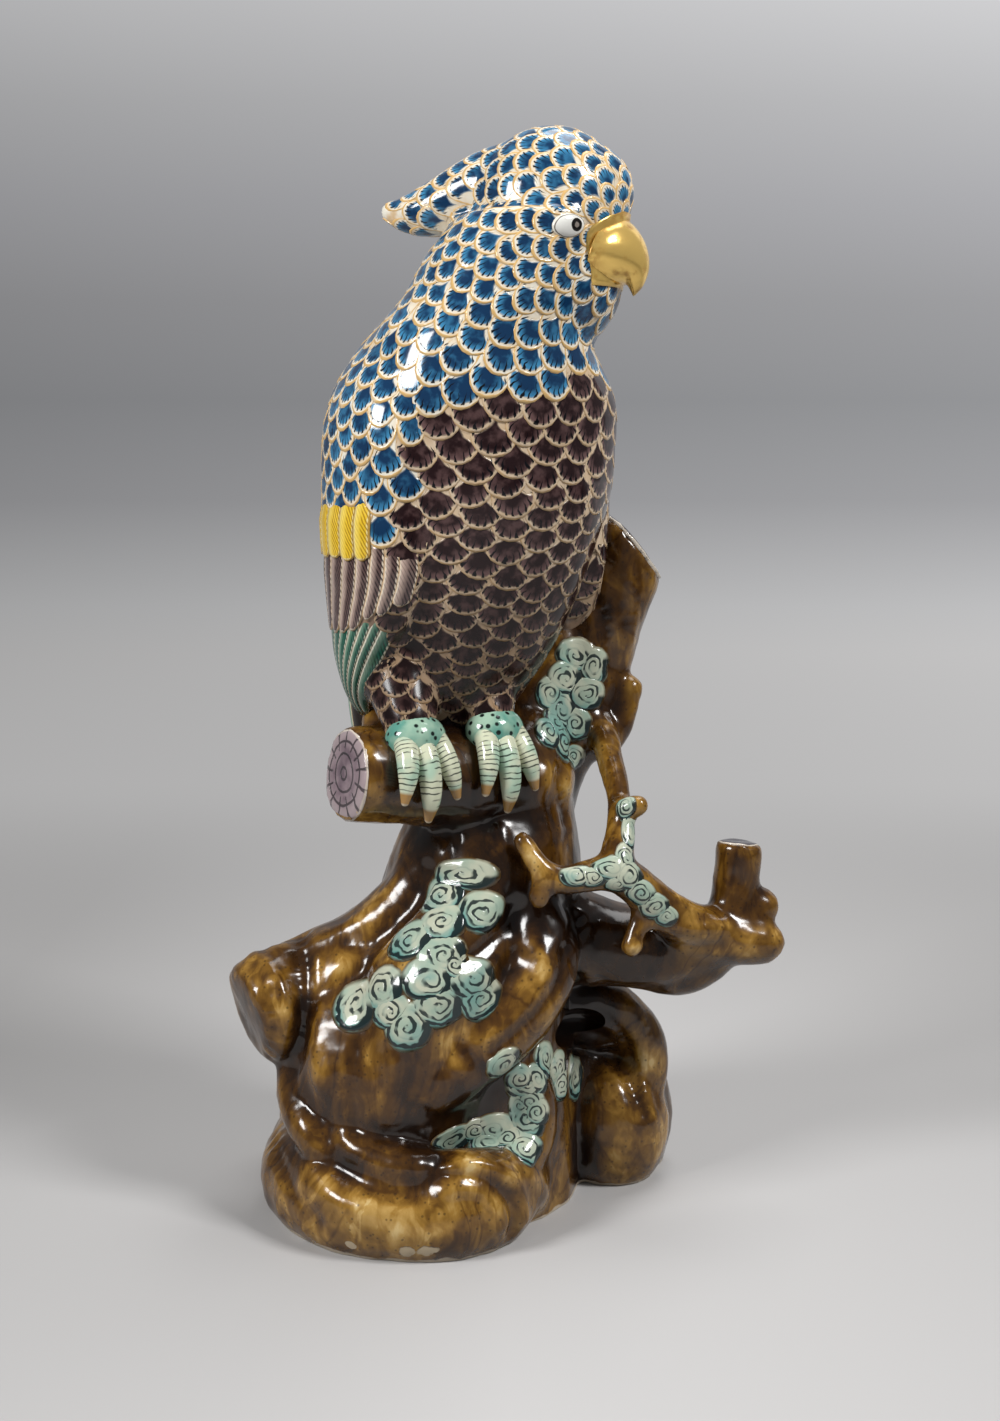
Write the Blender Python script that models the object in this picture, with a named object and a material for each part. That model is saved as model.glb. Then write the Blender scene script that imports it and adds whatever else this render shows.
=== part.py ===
"""Glazed porcelain parrot on a tree stump, moulded and fired as one piece, open underneath.

Metres, +Z up. The origin is the centre of the bounding box's bottom face, on the surface
that the figure stands on. The show side looks towards -Y.
"""

from math import cos, pi, radians, sin

import bmesh
import bpy
from mathutils import Matrix, Vector

MM = 0.001

# Stump
STUMP_WIDTH = 179 * MM
PERCH_HEIGHT = 141 * MM
PERCH_RADIUS = 17 * MM
PERCH_ARM = 42 * MM
TRUNK_RADIUS = 31 * MM
ROOT_RADIUS = 17 * MM
SNAG_RADIUS = 14 * MM
LIMB_RADIUS = 8 * MM
TWIG_RADIUS = 4 * MM
WALL = 9 * MM

# Bird, sized at its fullest places
BIRD_YAW = radians(32)
BIRD_HEIGHT = 196 * MM
BODY_HALF_WIDTH = 41 * MM
BODY_HALF_DEPTH = 37 * MM
WING_RISE = 5 * MM
HEAD_RADIUS = 24 * MM
HEAD_YAW = radians(76)
BEAK_HEIGHT = 22 * MM
BEAK_HALF_WIDTH = 6.5 * MM
CREST_RADIUS = 10 * MM
TAIL_RADIUS = 9 * MM
SHANK_RADIUS = 7 * MM
STANCE = 28 * MM
TOE_RADIUS = 3.4 * MM
EYE_RADIUS = 4.6 * MM

# Clay working
GRAIN = 1.7 * MM
SOFTENING = 3
KEPT_SHARE = 0.078

GLAZE_COLOUR = (0.13, 0.09, 0.05, 1.0)

UP = Vector((0, 0, 1))
FORWARD = Vector((sin(BIRD_YAW), -cos(BIRD_YAW), 0))
RIGHT_HAND = FORWARD.cross(UP)
FACING = Vector((sin(HEAD_YAW), -cos(HEAD_YAW), 0))


def clear_scene():
    for obj in list(bpy.data.objects):
        bpy.data.objects.remove(obj, do_unlink=True)


def smooth_path(points, steps):
    """A Catmull-Rom curve through points, which are tuples of any one length."""
    held = [points[0], *points, points[-1]]
    path = []
    for spans in zip(held, held[1:], held[2:], held[3:]):
        for i in range(steps):
            t = i / steps
            path.append(tuple(
                0.5 * (2 * q + (r - p) * t + (2 * p - 5 * q + 4 * r - s) * t ** 2
                       + (3 * q - p - 3 * r + s) * t ** 3)
                for p, q, r, s in zip(*spans)
            ))
    return [*path, tuple(points[-1])]


def skin(bm, rings):
    """Closes a row of equal rings of points into one solid with a flat cap at each end."""
    loops = [[bm.verts.new(point) for point in ring] for ring in rings]
    count = len(loops[0])
    for low, high in zip(loops, loops[1:]):
        for i in range(count):
            j = (i + 1) % count
            bm.faces.new((low[i], low[j], high[j], high[i]))
    bm.faces.new(loops[0][::-1])
    bm.faces.new(loops[-1])


def domed(centres, radii):
    """Adds a rounded end beyond the last of the centres."""
    centre, radius = centres[-1], radii[-1]
    outward = (centre - centres[-2]).normalized()
    for angle in (radians(28), radians(55), radians(76)):
        centres.append(centre + outward * radius * sin(angle))
        radii.append(radius * cos(angle))


def round_limb(bm, centres, radii, cut_start=False, cut_end=False, slope=None, sides=16):
    """A round limb through centres, sawn off flat at a cut end and domed at the others.
    Slope is the normal of a slanting cut."""
    centres, radii = list(centres), list(radii)
    for whole in (not cut_end, not cut_start):
        if whole:
            domed(centres, radii)
        centres.reverse()
        radii.reverse()
    across = (centres[1] - centres[0]).cross(Vector((0.31, 0.84, 0.44))).normalized()
    rings = []
    for i, centre in enumerate(centres):
        along = (centres[min(i + 1, len(centres) - 1)] - centres[max(i - 1, 0)]).normalized()
        across = (across - along * across.dot(along)).normalized()
        over = along.cross(across)
        angles = [2 * pi * k / sides for k in range(sides)]
        rings.append([centre + radii[i] * (cos(a) * across + sin(a) * over) for a in angles])
    if slope:
        rings[-1] = [
            point + along * slope.dot(centres[-1] - point) / slope.dot(along)
            for point in rings[-1]
        ]
    skin(bm, rings)


def spot(x, y, z):
    """A place on the stump, laid out on a stump 179 wide with its perch 141 up."""
    return Vector((x * STUMP_WIDTH / 179, y * STUMP_WIDTH / 179, z * PERCH_HEIGHT / 141))


def wood(bm, radius, points, **cuts):
    """A limb of the stump through points that hold a spot and a share of the radius."""
    path = smooth_path(points, 3)
    centres = [spot(*point[:3]) for point in path]
    round_limb(bm, centres, [radius * point[3] for point in path], **cuts)


def ellipsoid(bm, centre, radii, facing=None, nose_down=0.0):
    """An ellipsoid with its first radius along facing."""
    facing = facing or Vector((1, 0, 0))
    turn = facing.to_track_quat("X", "Z").to_matrix().to_4x4()
    place = (Matrix.Translation(centre) @ turn @ Matrix.Rotation(nose_down, 4, "Y")
             @ Matrix.Diagonal((*radii, 1)))
    bmesh.ops.create_uvsphere(bm, u_segments=28, v_segments=18, radius=1, matrix=place)


def new_object(name, bm):
    bmesh.ops.recalc_face_normals(bm, faces=bm.faces)
    mesh = bpy.data.meshes.new(name)
    bm.to_mesh(mesh)
    bm.free()
    obj = bpy.data.objects.new(name, mesh)
    bpy.context.scene.collection.objects.link(obj)
    return obj


# Stump


def model_trunk(bm):
    """The hollow trunk with the roots and knots that spread from it."""
    wood(bm, TRUNK_RADIUS, [
        (8, 4, 146, 0.5), (1, 4, 126, 0.84), (-3, 3, 112, 1.0), (-8, 4, 90, 1.08),
        (-12, 4, 66, 1.15), (-14, 4, 40, 1.25), (-14, 4, 6, 1.3), (-14, 4, -20, 1.3),
    ])
    # Left shoulder running out to the sawn knot
    wood(bm, ROOT_RADIUS, [
        (-12, -4, 114, 0.95), (-24, -6, 93, 1.1), (-40, -7, 80, 1.08), (-55, -8, 73, 1.06),
        (-68, -12, 68, 1.06), (-79, -18, 65, 1.02),
    ], cut_end=True)
    # Bellied front of the stump and the ridge above it
    ellipsoid(bm, spot(-33, -12, 48),
              (ROOT_RADIUS * 2.15, ROOT_RADIUS * 2.05, ROOT_RADIUS * 2.2))
    wood(bm, ROOT_RADIUS, [
        (-3, -7, 116, 0.8), (-9, -17, 97, 1.0), (-20, -25, 76, 1.3), (-28, -24, 54, 1.4),
    ])
    # Toe of the base, curling round from the left to the front
    wood(bm, ROOT_RADIUS, [
        (-62, 6, 12, 0.9), (-60, -20, 12, 1.0), (-44, -38, 12, 1.05), (-20, -43, 11, 1.0),
        (-4, -36, 11, 0.9), (2, -20, 14, 0.8),
    ])
    # Lip rolled over the toe
    wood(bm, TWIG_RADIUS, [
        (-44, -42, 30, 1.4), (-24, -48, 25, 1.7), (-8, -45, 23, 1.9), (4, -36, 18, 1.9),
        (8, -26, 10, 1.8), (4, -20, 0, 1.6),
    ])
    # Root that coils down the middle and folds back into the belly
    wood(bm, ROOT_RADIUS, [
        (4, -12, 110, 0.5), (11, -18, 96, 0.6), (13, -22, 83, 0.7), (5, -27, 70, 0.75),
        (-8, -33, 60, 0.75), (-20, -36, 50, 0.7),
    ])
    # Ridge from the belly down to the toe
    wood(bm, ROOT_RADIUS, [
        (-2, -22, 56, 0.5), (8, -22, 44, 0.5), (10, -24, 30, 0.5), (4, -32, 20, 0.5),
    ])
    # Right-hand root, its arch and the knee inside it
    ellipsoid(bm, spot(27, 26, 17),
              (ROOT_RADIUS * 1.75, ROOT_RADIUS * 1.6, ROOT_RADIUS * 1.9))
    wood(bm, ROOT_RADIUS, [
        (10, 8, 76, 0.7), (26, 14, 58, 0.72), (40, 21, 48, 0.74), (43, 24, 34, 0.74),
        (46, 24, 18, 0.84), (43, 24, 2, 0.82), (42, 24, -12, 0.7),
    ])
    ellipsoid(bm, spot(38, 12, 17),
              (ROOT_RADIUS * 1.15, ROOT_RADIUS * 1.05, ROOT_RADIUS * 1.4))
    wood(bm, LIMB_RADIUS, [
        (24, 6, 62, 0.95), (38, 8, 59, 1.0), (47, 11, 48, 1.0), (49, 13, 34, 0.95),
        (46, 12, 22, 0.85),
    ])
    # Back roots
    wood(bm, ROOT_RADIUS, [
        (-6, 18, 112, 0.7), (-14, 30, 84, 0.85), (-20, 38, 50, 0.95), (-24, 42, 8, 1.0),
        (-24, 42, -12, 1.0),
    ])
    wood(bm, ROOT_RADIUS, [
        (8, 16, 100, 0.7), (14, 30, 66, 0.85), (16, 42, 30, 0.95), (16, 44, -6, 0.95),
    ])
    wood(bm, ROOT_RADIUS, [
        (-34, 6, 84, 0.8), (-50, 16, 58, 0.95), (-58, 22, 30, 1.0), (-60, 24, -6, 1.0),
    ])


def model_branches(bm):
    """The perch, the broken snag behind the bird and the branches at the right."""
    along = -RIGHT_HAND
    levels = [(-1, 0.28, 0.86), (-0.6, 0.16, 0.92), (0, 0, 1), (0.3, -0.1, 1), (0.55, -0.2, 0.95)]
    round_limb(
        bm,
        [PERCH + along * PERCH_ARM * r + UP * PERCH_RADIUS * h for r, h, girth in levels],
        [PERCH_RADIUS * girth for r, h, girth in levels],
        cut_start=True,
    )
    # Bark that rises behind the legs and carries the rump
    wood(bm, PERCH_RADIUS, [
        (-14, 4, 134, 0.95), (-20, 8, 152, 0.85), (-24, 10, 168, 0.75), (-22, 10, 184, 0.5),
    ])
    wood(bm, PERCH_RADIUS, [(-34, -14, 150, 0.6), (-32, -6, 160, 0.65), (-26, 2, 168, 0.6)])
    # Snag
    wood(bm, SNAG_RADIUS, [
        (4, 8, 106, 1.3), (11, 13, 126, 1.0), (15, 16, 140, 1.0), (22, 20, 154, 1.04),
        (28, 23, 170, 1.04), (34, 24, 188, 1.0), (43, 25, 212, 0.98),
    ], cut_end=True, slope=Vector((0.75, 0.1, 0.66)))
    # Bark of the snag that runs under the tail and thighs
    wood(bm, SNAG_RADIUS, [(2, 8, 140, 1.1), (10, 14, 160, 1.0), (20, 20, 180, 0.8)])
    # Finger left of a lost shoot
    wood(bm, TWIG_RADIUS, [
        (27, 16, 148, 1.3), (34, 15, 147, 1.3), (39, 16, 154, 1.15), (43, 17, 165, 1.0),
    ])
    # Thin shoot that joins the snag to the forked branch
    wood(bm, TWIG_RADIUS, [
        (26, 14, 157, 1.5), (33, 9, 152, 1.15), (36, -1, 142, 1.0), (38, -14, 130, 0.95),
        (36, -25, 116, 1.3),
    ])
    wood(bm, TWIG_RADIUS, [(38, -17, 131, 0.9), (43, -19, 133, 0.85)])
    # Forked branch in front of the trunk
    wood(bm, LIMB_RADIUS, [
        (7, -29, 124, 0.36), (13, -31, 115, 0.5), (20, -31, 112, 0.58), (29, -28, 113, 0.66),
        (38, -25, 112, 0.76), (49, -21, 102, 0.82), (60, -15, 93, 1.0), (70, -10, 89, 1.1),
        (84, -8, 86, 0.95),
    ])
    wood(bm, LIMB_RADIUS, [(14, -31, 114, 0.5), (12, -32, 106, 0.42)])
    wood(bm, TWIG_RADIUS, [(46, -22, 102, 1.0), (42, -25, 94, 0.7), (41, -26, 90, 0.9)])
    # Thick branch behind it, with a web underneath
    wood(bm, LIMB_RADIUS, [
        (14, 0, 88, 2.2), (34, -2, 84, 1.75), (54, -5, 83, 1.45), (70, -7, 87, 1.2),
    ])
    wood(bm, LIMB_RADIUS, [
        (36, 0, 78, 1.0), (50, -2, 76, 1.0), (60, -4, 76, 1.05), (70, -6, 82, 0.9),
    ])
    # Upright stub and its knot
    wood(bm, LIMB_RADIUS, [
        (75, -6, 90, 1.0), (76, -5, 104, 0.84), (77, -4, 118, 0.82),
    ], cut_end=True)
    wood(bm, LIMB_RADIUS, [(77, -5, 96, 0.8), (85, -5, 97, 0.68)])


def foot_cutter():
    """Everything under the table's surface, to leave the roots with one flat foot."""
    bm = bmesh.new()
    bmesh.ops.create_cube(bm, size=1)
    side = 3 * STUMP_WIDTH
    depth = PERCH_HEIGHT
    bmesh.ops.scale(bm, vec=(side, side, depth), verts=bm.verts)
    bmesh.ops.translate(bm, vec=(0, 0, -depth / 2), verts=bm.verts)
    return new_object("Foot", bm)


def hollow_cutter():
    """The inside of the base, open at the foot and closing up under the perch."""
    bm = bmesh.new()
    shares = [(-0.1, 1.3), (0.0, 1.3), (0.22, 1.25), (0.42, 1.1), (0.6, 0.98), (0.74, 0.7)]
    centres, radii = [], []
    for height, share in shares:
        centres.append(spot(-13, 2, 141 * height))
        radii.append(TRUNK_RADIUS * share - WALL)
    round_limb(bm, centres, radii, cut_start=True, sides=20)
    return new_object("Hollow", bm)


def cave_cutter():
    """The small dark opening between the coiled root and the right-hand root."""
    bm = bmesh.new()
    ellipsoid(bm, spot(26, -6, 56),
              (ROOT_RADIUS * 0.62, ROOT_RADIUS * 0.8, ROOT_RADIUS * 0.36))
    return new_object("Cave", bm)


# Bird


PERCH = spot(-11, -12, 141)


def on_bird(forward, right, height):
    """A place ahead, to the bird's right and above the perch, laid out on a bird 196 high
    over the perch's axis with a body 82 wide."""
    across = BODY_HALF_WIDTH / 41
    return (PERCH + FORWARD * forward * across + RIGHT_HAND * right * across
            + UP * height * BIRD_HEIGHT / 196)


# Ahead, to the right and up, then half width and half depth as shares
BODY_LEVELS = [
    (-12, -1, 14, 0.40, 0.36), (-10, -2, 26, 0.56, 0.54), (-8, -3, 39, 0.72, 0.72),
    (-6, -5, 59, 0.88, 0.9), (-2, -8, 86, 0.98, 0.99), (-1, -8, 102, 1.02, 1.0),
    (2, -7, 117, 1.0, 0.95), (4, -4, 134, 0.83, 0.86), (9, -8, 147, 0.72, 0.77),
    (12, -11, 158, 0.67, 0.7), (16, -16, 170, 0.58, 0.64),
]

# Height, half width and half depth as above, the angles of the leading and trailing edges
# round the body, and how far the wing stands off it
WING_LEVELS = [
    (141, 0.72, 0.76, 20, -60, 0.0), (133, 0.83, 0.84, 30, -68, 0.35),
    (122, 0.94, 0.92, 37, -74, 0.75), (110, 1.0, 0.96, 41, -78, 1.0),
    (96, 1.02, 1.0, 42, -80, 1.0), (78, 1.02, 0.99, 42, -80, 1.0),
    (64, 1.0, 0.96, 40, -78, 1.0), (52, 0.98, 0.92, 32, -74, 1.0),
    (42, 0.96, 0.86, 20, -66, 1.0), (32, 0.93, 0.8, 4, -56, 0.9),
    (24, 0.9, 0.76, -14, -44, 0.7), (19, 0.88, 0.74, -24, -36, 0.4),
]


def model_body(bm):
    path = smooth_path(BODY_LEVELS, 5)
    rings = []
    for forward, right, height, width, depth in path:
        centre = on_bird(forward, right, height)
        rings.append([
            centre + RIGHT_HAND * width * BODY_HALF_WIDTH * cos(a)
            + FORWARD * depth * BODY_HALF_DEPTH * sin(a)
            for a in [2 * pi * k / 48 for k in range(48)]
        ])
    skin(bm, rings)


def model_wing(bm, hand):
    """A folded wing lying on the body's side; hand is 1 on the bird's right."""
    rise, back = (1.6 * WING_RISE, 0) if hand > 0 else (0.7 * WING_RISE, 16)
    rings = []
    for height, width, depth, lead, trail, off in smooth_path(WING_LEVELS, 4):
        centre = on_bird(-3, -7.5, height)
        wide, deep = width * BODY_HALF_WIDTH, depth * BODY_HALF_DEPTH
        outside, inside = [], []
        for k in range(17):
            t = k / 16
            a = radians(lead + (trail - lead) * t - back * (1 - t))
            bulge = rise * off * (1 - abs(2 * t - 1) ** 7)
            out = RIGHT_HAND * hand * cos(a)
            outside.append(centre + out * (wide + bulge) + FORWARD * sin(a) * (deep + bulge))
            inside.append(centre + out * (wide - WALL) + FORWARD * sin(a) * (deep - WALL))
        rings.append(outside + inside[::-1])
    skin(bm, rings)


def model_tail(bm):
    path = smooth_path([
        (-28, 0, 84, 1.5), (-33, 4, 62, 1.7), (-34, 9, 44, 1.55), (-30, 13, 27, 1.3),
        (-26, 16, 12, 1.0), (-24, 17, 1, 0.7),
    ], 4)
    round_limb(bm, [on_bird(*point[:3]) for point in path],
               [TAIL_RADIUS * point[3] for point in path])


def model_head(bm):
    """The head, cheeks, nape and swept-back crest; gives back the middle of the head."""
    top = on_bird(17, -20.5, 172)
    side = FACING.cross(UP)
    r = HEAD_RADIUS
    ellipsoid(bm, top, (r * 0.98, r * 0.9, r * 1.02), FACING)
    ellipsoid(bm, top + FACING * r * 0.42 + UP * r * 0.12, (r * 0.66, r * 0.62, r * 0.68), FACING)
    ellipsoid(bm, top + FACING * r * 0.08 - UP * r * 0.8, (r * 0.82, r * 0.84, r * 0.93), FACING)
    ellipsoid(bm, top - FACING * r * 0.3 - UP * r * 0.7, (r * 1.1, r * 0.95, r * 0.9), FACING)
    crest = [(0.08, 0.45, 1.25), (-0.7, 0.34, 1.12), (-1.25, 0.15, 0.96), (-1.7, 0.04, 0.7),
             (-2.0, 0.02, 0.4), (-2.12, 0.03, 0.24)]
    path = smooth_path(crest, 4)
    round_limb(bm, [top + FACING * r * x + UP * r * z for x, z, share in path],
               [CREST_RADIUS * share for x, z, share in path])
    for hand in (-1, 1):
        ellipsoid(bm, top + FACING * r * 0.36 + UP * -r * 0.28 + side * hand * r * 0.78,
                  (EYE_RADIUS, EYE_RADIUS * 0.5, EYE_RADIUS * 0.62), FACING)
    return top


def model_beak(bm, top):
    """The hooked upper mandible and the small lower one tucked under it."""
    h = BEAK_HEIGHT
    root = top + FACING * HEAD_RADIUS * 0.5 - UP * HEAD_RADIUS * 0.65
    side = FACING.cross(UP)
    hook = [(0.0, 0.0, 0.34), (0.27, 0.05, 0.365), (0.5, -0.05, 0.3), (0.61, -0.2, 0.2),
            (0.62, -0.34, 0.11), (0.6, -0.43, 0.05)]
    path = smooth_path(hook, 4)
    rings = []
    for i, (x, z, share) in enumerate(path):
        after, before = path[min(i + 1, len(path) - 1)], path[max(i - 1, 0)]
        along = (FACING * (after[0] - before[0]) + UP * (after[1] - before[1])).normalized()
        over = side.cross(along)
        centre = root + FACING * h * x + UP * h * z
        width = BEAK_HALF_WIDTH * share / 0.365
        angles = [2 * pi * k / 20 for k in range(20)]
        rings.append([centre + side * width * cos(a) + over * h * share * sin(a) for a in angles])
    skin(bm, rings)
    ellipsoid(bm, root + FACING * h * 0.1 - UP * h * 0.42, (h * 0.26, h * 0.22, h * 0.2), FACING)


def model_legs(bm):
    """Two feathered thighs and shanks, each with three toes over the front of the perch."""
    grip = PERCH_RADIUS + 0.8 * TOE_RADIUS
    spacing = 2.3 * TOE_RADIUS
    for hand in (-1, 1):
        across = RIGHT_HAND * (hand * 0.5 + 0.34) * STANCE
        thigh = [
            on_bird(-8, -5, 48) + across, on_bird(-2, -2, 31) + across,
            PERCH + across + FORWARD * SHANK_RADIUS + UP * (PERCH_RADIUS + 0.3 * SHANK_RADIUS),
            PERCH + across + FORWARD * 0.7 * SHANK_RADIUS,
        ]
        round_limb(bm, thigh, [SHANK_RADIUS * s for s in (2.1, 1.7, 1.15, 1.0)])
        for spread in (-1, 0, 1):
            toe = []
            for angle in (72, 54, 35, 15, -8, -32):
                splay = spread * (0.45 + (72 - angle) / 130)
                a = radians(angle)
                toe.append(PERCH + across + RIGHT_HAND * splay * spacing
                           + FORWARD * grip * cos(a) + UP * grip * sin(a))
            reach = len(toe) if spread == 0 else len(toe) - 1
            girths = (1.1, 1.1, 1.05, 1.0, 0.85, 0.3)[-reach:]
            round_limb(bm, toe[:reach], [TOE_RADIUS * g for g in girths], sides=12)


def fuse(figure):
    """Turns the overlapping forms into one clay body and cuts its foot, hollow and cave."""
    remesh = figure.modifiers.new("Fuse the clay", "REMESH")
    remesh.mode = "VOXEL"
    remesh.voxel_size = GRAIN
    remesh.use_smooth_shade = True
    soften = figure.modifiers.new("Soften under the glaze", "SMOOTH")
    soften.factor = 0.5
    soften.iterations = SOFTENING
    thin = figure.modifiers.new("Thin the mesh", "DECIMATE")
    thin.ratio = KEPT_SHARE
    for cutter in (foot_cutter(), hollow_cutter(), cave_cutter()):
        cut = figure.modifiers.new(cutter.name, "BOOLEAN")
        cut.operation = "DIFFERENCE"
        cut.solver = "EXACT"
        cut.object = cutter


def stand_on_origin(figure):
    """Fixes the finished shape and moves it so that the middle of its foot is the origin."""
    depsgraph = bpy.context.evaluated_depsgraph_get()
    mesh = bpy.data.meshes.new_from_object(figure.evaluated_get(depsgraph))
    figure.modifiers.clear()
    figure.data = mesh
    mesh.name = figure.name
    points = [vert.co for vert in mesh.vertices]
    low = [min(point[axis] for point in points) for axis in range(3)]
    high = [max(point[axis] for point in points) for axis in range(3)]
    mesh.transform(Matrix.Translation((
        -(low[0] + high[0]) / 2, -(low[1] + high[1]) / 2, -low[2],
    )))
    for obj in list(bpy.data.objects):
        if obj is not figure:
            bpy.data.objects.remove(obj, do_unlink=True)


def glaze(obj):
    material = bpy.data.materials.new("glazed_porcelain")
    material.use_nodes = True
    shader = material.node_tree.nodes["Principled BSDF"]
    shader.inputs["Base Color"].default_value = GLAZE_COLOUR
    shader.inputs["Roughness"].default_value = 0.12
    shader.inputs["Metallic"].default_value = 0.0
    obj.data.materials.append(material)


def main():
    clear_scene()
    bm = bmesh.new()
    model_trunk(bm)
    model_branches(bm)
    model_body(bm)
    for hand in (-1, 1):
        model_wing(bm, hand)
    model_tail(bm)
    top = model_head(bm)
    model_beak(bm, top)
    model_legs(bm)
    figure = new_object("parrot_figurine", bm)
    fuse(figure)
    stand_on_origin(figure)
    glaze(figure)


main()
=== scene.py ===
import random
from math import atan2, cos, degrees, pi, radians, sin, sqrt

import bpy
import numpy as np
from mathutils import Matrix, Vector
from mathutils.bvhtree import BVHTree

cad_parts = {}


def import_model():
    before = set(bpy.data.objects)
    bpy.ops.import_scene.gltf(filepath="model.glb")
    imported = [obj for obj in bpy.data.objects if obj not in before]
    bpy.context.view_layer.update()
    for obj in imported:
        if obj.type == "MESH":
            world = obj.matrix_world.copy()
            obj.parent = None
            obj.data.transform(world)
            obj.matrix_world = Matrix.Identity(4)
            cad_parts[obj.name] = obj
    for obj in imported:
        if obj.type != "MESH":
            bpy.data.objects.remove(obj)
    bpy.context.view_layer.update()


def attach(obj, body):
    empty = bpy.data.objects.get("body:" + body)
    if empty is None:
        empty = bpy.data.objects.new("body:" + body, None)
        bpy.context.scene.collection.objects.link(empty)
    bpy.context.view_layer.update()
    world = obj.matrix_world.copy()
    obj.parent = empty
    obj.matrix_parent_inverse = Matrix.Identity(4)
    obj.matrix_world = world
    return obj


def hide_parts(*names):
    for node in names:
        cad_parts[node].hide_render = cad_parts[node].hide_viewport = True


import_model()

random.seed(11)

# Places are laid out in millimetres, then moved onto the frame's origin
mm = 0.001
shift = Vector((-1.9475, -0.1336, 0.0))
up = Vector((0, 0, 1))
perch = Vector((-11, -12, 141))  # middle of the perch's axis under the bird

bird = {
    "yaw": 32, "headYaw": 76, "halfWidth": 41, "halfDepth": 37, "wingRise": 5, "head": 24,
    "crest": 10, "tail": 9, "shank": 7, "stance": 28, "toe": 3.3, "grain": 1.0, "softening": 14,
}


def compass(yaw):
    return Vector((sin(radians(yaw)), -cos(radians(yaw)), 0))


ahead, facing = compass(bird["yaw"]), compass(bird["headYaw"])
rightHand, headSide = ahead.cross(up), facing.cross(up)


def world(place):
    return (place + shift) * mm


def onBird(forward, right, height):
    return perch + ahead * forward + rightHand * right + up * height


def footSide(hand):
    return rightHand * (hand * 0.5 + 0.34) * bird["stance"]


def circle(count):
    return [2 * pi * k / count for k in range(count)]


# Modelling helpers


def pick(*objects):
    bpy.ops.object.select_all(action="DESELECT")
    for obj in objects:
        obj.select_set(True)
    bpy.context.view_layer.objects.active = objects[0]


def addObject(name, data):
    obj = bpy.data.objects.new(name, data)
    bpy.context.scene.collection.objects.link(obj)
    return obj


def inEditMode(obj, *steps):
    # Each step is a mesh operator and its settings, used on all of an object
    pick(obj)
    bpy.ops.object.mode_set(mode="EDIT")
    bpy.ops.mesh.select_all(action="SELECT")
    for operator, how in steps:
        operator(**how)
    bpy.ops.object.mode_set(mode="OBJECT")


def smoothPath(points, steps):
    held = [points[0], *points, points[-1]]
    path = []
    for spans in zip(held, held[1:], held[2:], held[3:]):
        for i in range(steps):
            t = i / steps
            path.append(tuple(
                0.5 * (2 * q + (r - p) * t + (2 * p - 5 * q + 4 * r - s) * t ** 2
                       + (3 * q - p - 3 * r + s) * t ** 3)
                for p, q, r, s in zip(*spans)
            ))
    return [*path, tuple(points[-1])]


def limb(radius, points, cutStart=False, cutEnd=False, steps=3):
    # Points hold a place and a share of the radius; ends that aren't cut are domed
    path = smoothPath(points, steps) if steps else points
    centres = [Vector(point[:3]) for point in path]
    radii = [radius * point[3] for point in path]
    for whole in (not cutEnd, not cutStart):
        if whole:
            centre, girth = centres[-1], radii[-1]
            outward = (centre - centres[-2]).normalized()
            for angle in (radians(28), radians(55), radians(76)):
                centres.append(centre + outward * girth * sin(angle))
                radii.append(girth * cos(angle))
        centres.reverse()
        radii.reverse()
    return centres, radii


def growLimbs(name, limbs):
    # One bevelled curve with a spline for each limb, turned into a mesh
    curve = bpy.data.curves.new(name, "CURVE")
    curve.dimensions = "3D"
    curve.bevel_depth = mm
    curve.bevel_resolution = 6
    curve.use_fill_caps = True
    for centres, radii in limbs:
        spline = curve.splines.new("POLY")
        spline.points.add(len(centres) - 1)
        for point, centre, radius in zip(spline.points, centres, radii):
            point.co = (*world(centre), 1)
            point.radius = radius
    pick(addObject(name, curve))
    bpy.ops.object.convert(target="MESH")
    obj = bpy.context.object
    inEditMode(obj, (bpy.ops.mesh.remove_doubles, {"threshold": 0.01 * mm}),
               (bpy.ops.mesh.normals_make_consistent, {"inside": False}))
    return obj


def addEgg(centre, radii, way=None, segments=28):
    turn = (way or Vector((1, 0, 0))).to_track_quat("X", "Z")
    bpy.ops.object.select_all(action="DESELECT")
    bpy.ops.mesh.primitive_uv_sphere_add(
        segments=segments, ring_count=segments * 2 // 3, radius=mm, location=world(centre),
        rotation=turn.to_euler())
    egg = bpy.context.object
    egg.scale = radii
    bpy.ops.object.transform_apply(location=True, rotation=True, scale=True)
    return egg


def ringsAlong(centres, radii, sides):
    across = (centres[1] - centres[0]).cross(Vector((0.31, 0.84, 0.44))).normalized()
    rings = []
    for i, centre in enumerate(centres):
        along = (centres[min(i + 1, len(centres) - 1)] - centres[max(i - 1, 0)]).normalized()
        across = (across - along * across.dot(along)).normalized()
        over = along.cross(across)
        rings.append([centre + radii[i] * (cos(a) * across + sin(a) * over)
                      for a in circle(sides)])
    return rings


def loft(name, rings):
    # Rings of points become one closed skin; its "drawn" map runs round and along it
    count = len(rings[0])
    points = [world(point) for ring in rings for point in ring]
    faces = [
        (row * count + k, row * count + (k + 1) % count,
         (row + 1) * count + (k + 1) % count, (row + 1) * count + k)
        for row in range(len(rings) - 1) for k in range(count)
    ]
    faces += [tuple(range(count))[::-1], tuple(range(len(points) - count, len(points)))]
    mesh = bpy.data.meshes.new(name)
    mesh.from_pydata(points, [], faces)
    drawn = mesh.uv_layers.new(name="drawn")
    for face in mesh.polygons:
        for corner in face.loop_indices:
            index = mesh.loops[corner].vertex_index
            drawn.data[corner].uv = (index % count / count, index // count / (len(rings) - 1))
    obj = addObject(name, mesh)
    inEditMode(obj, (bpy.ops.mesh.normals_make_consistent, {"inside": False}))
    bpy.ops.object.shade_smooth()
    return obj


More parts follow.
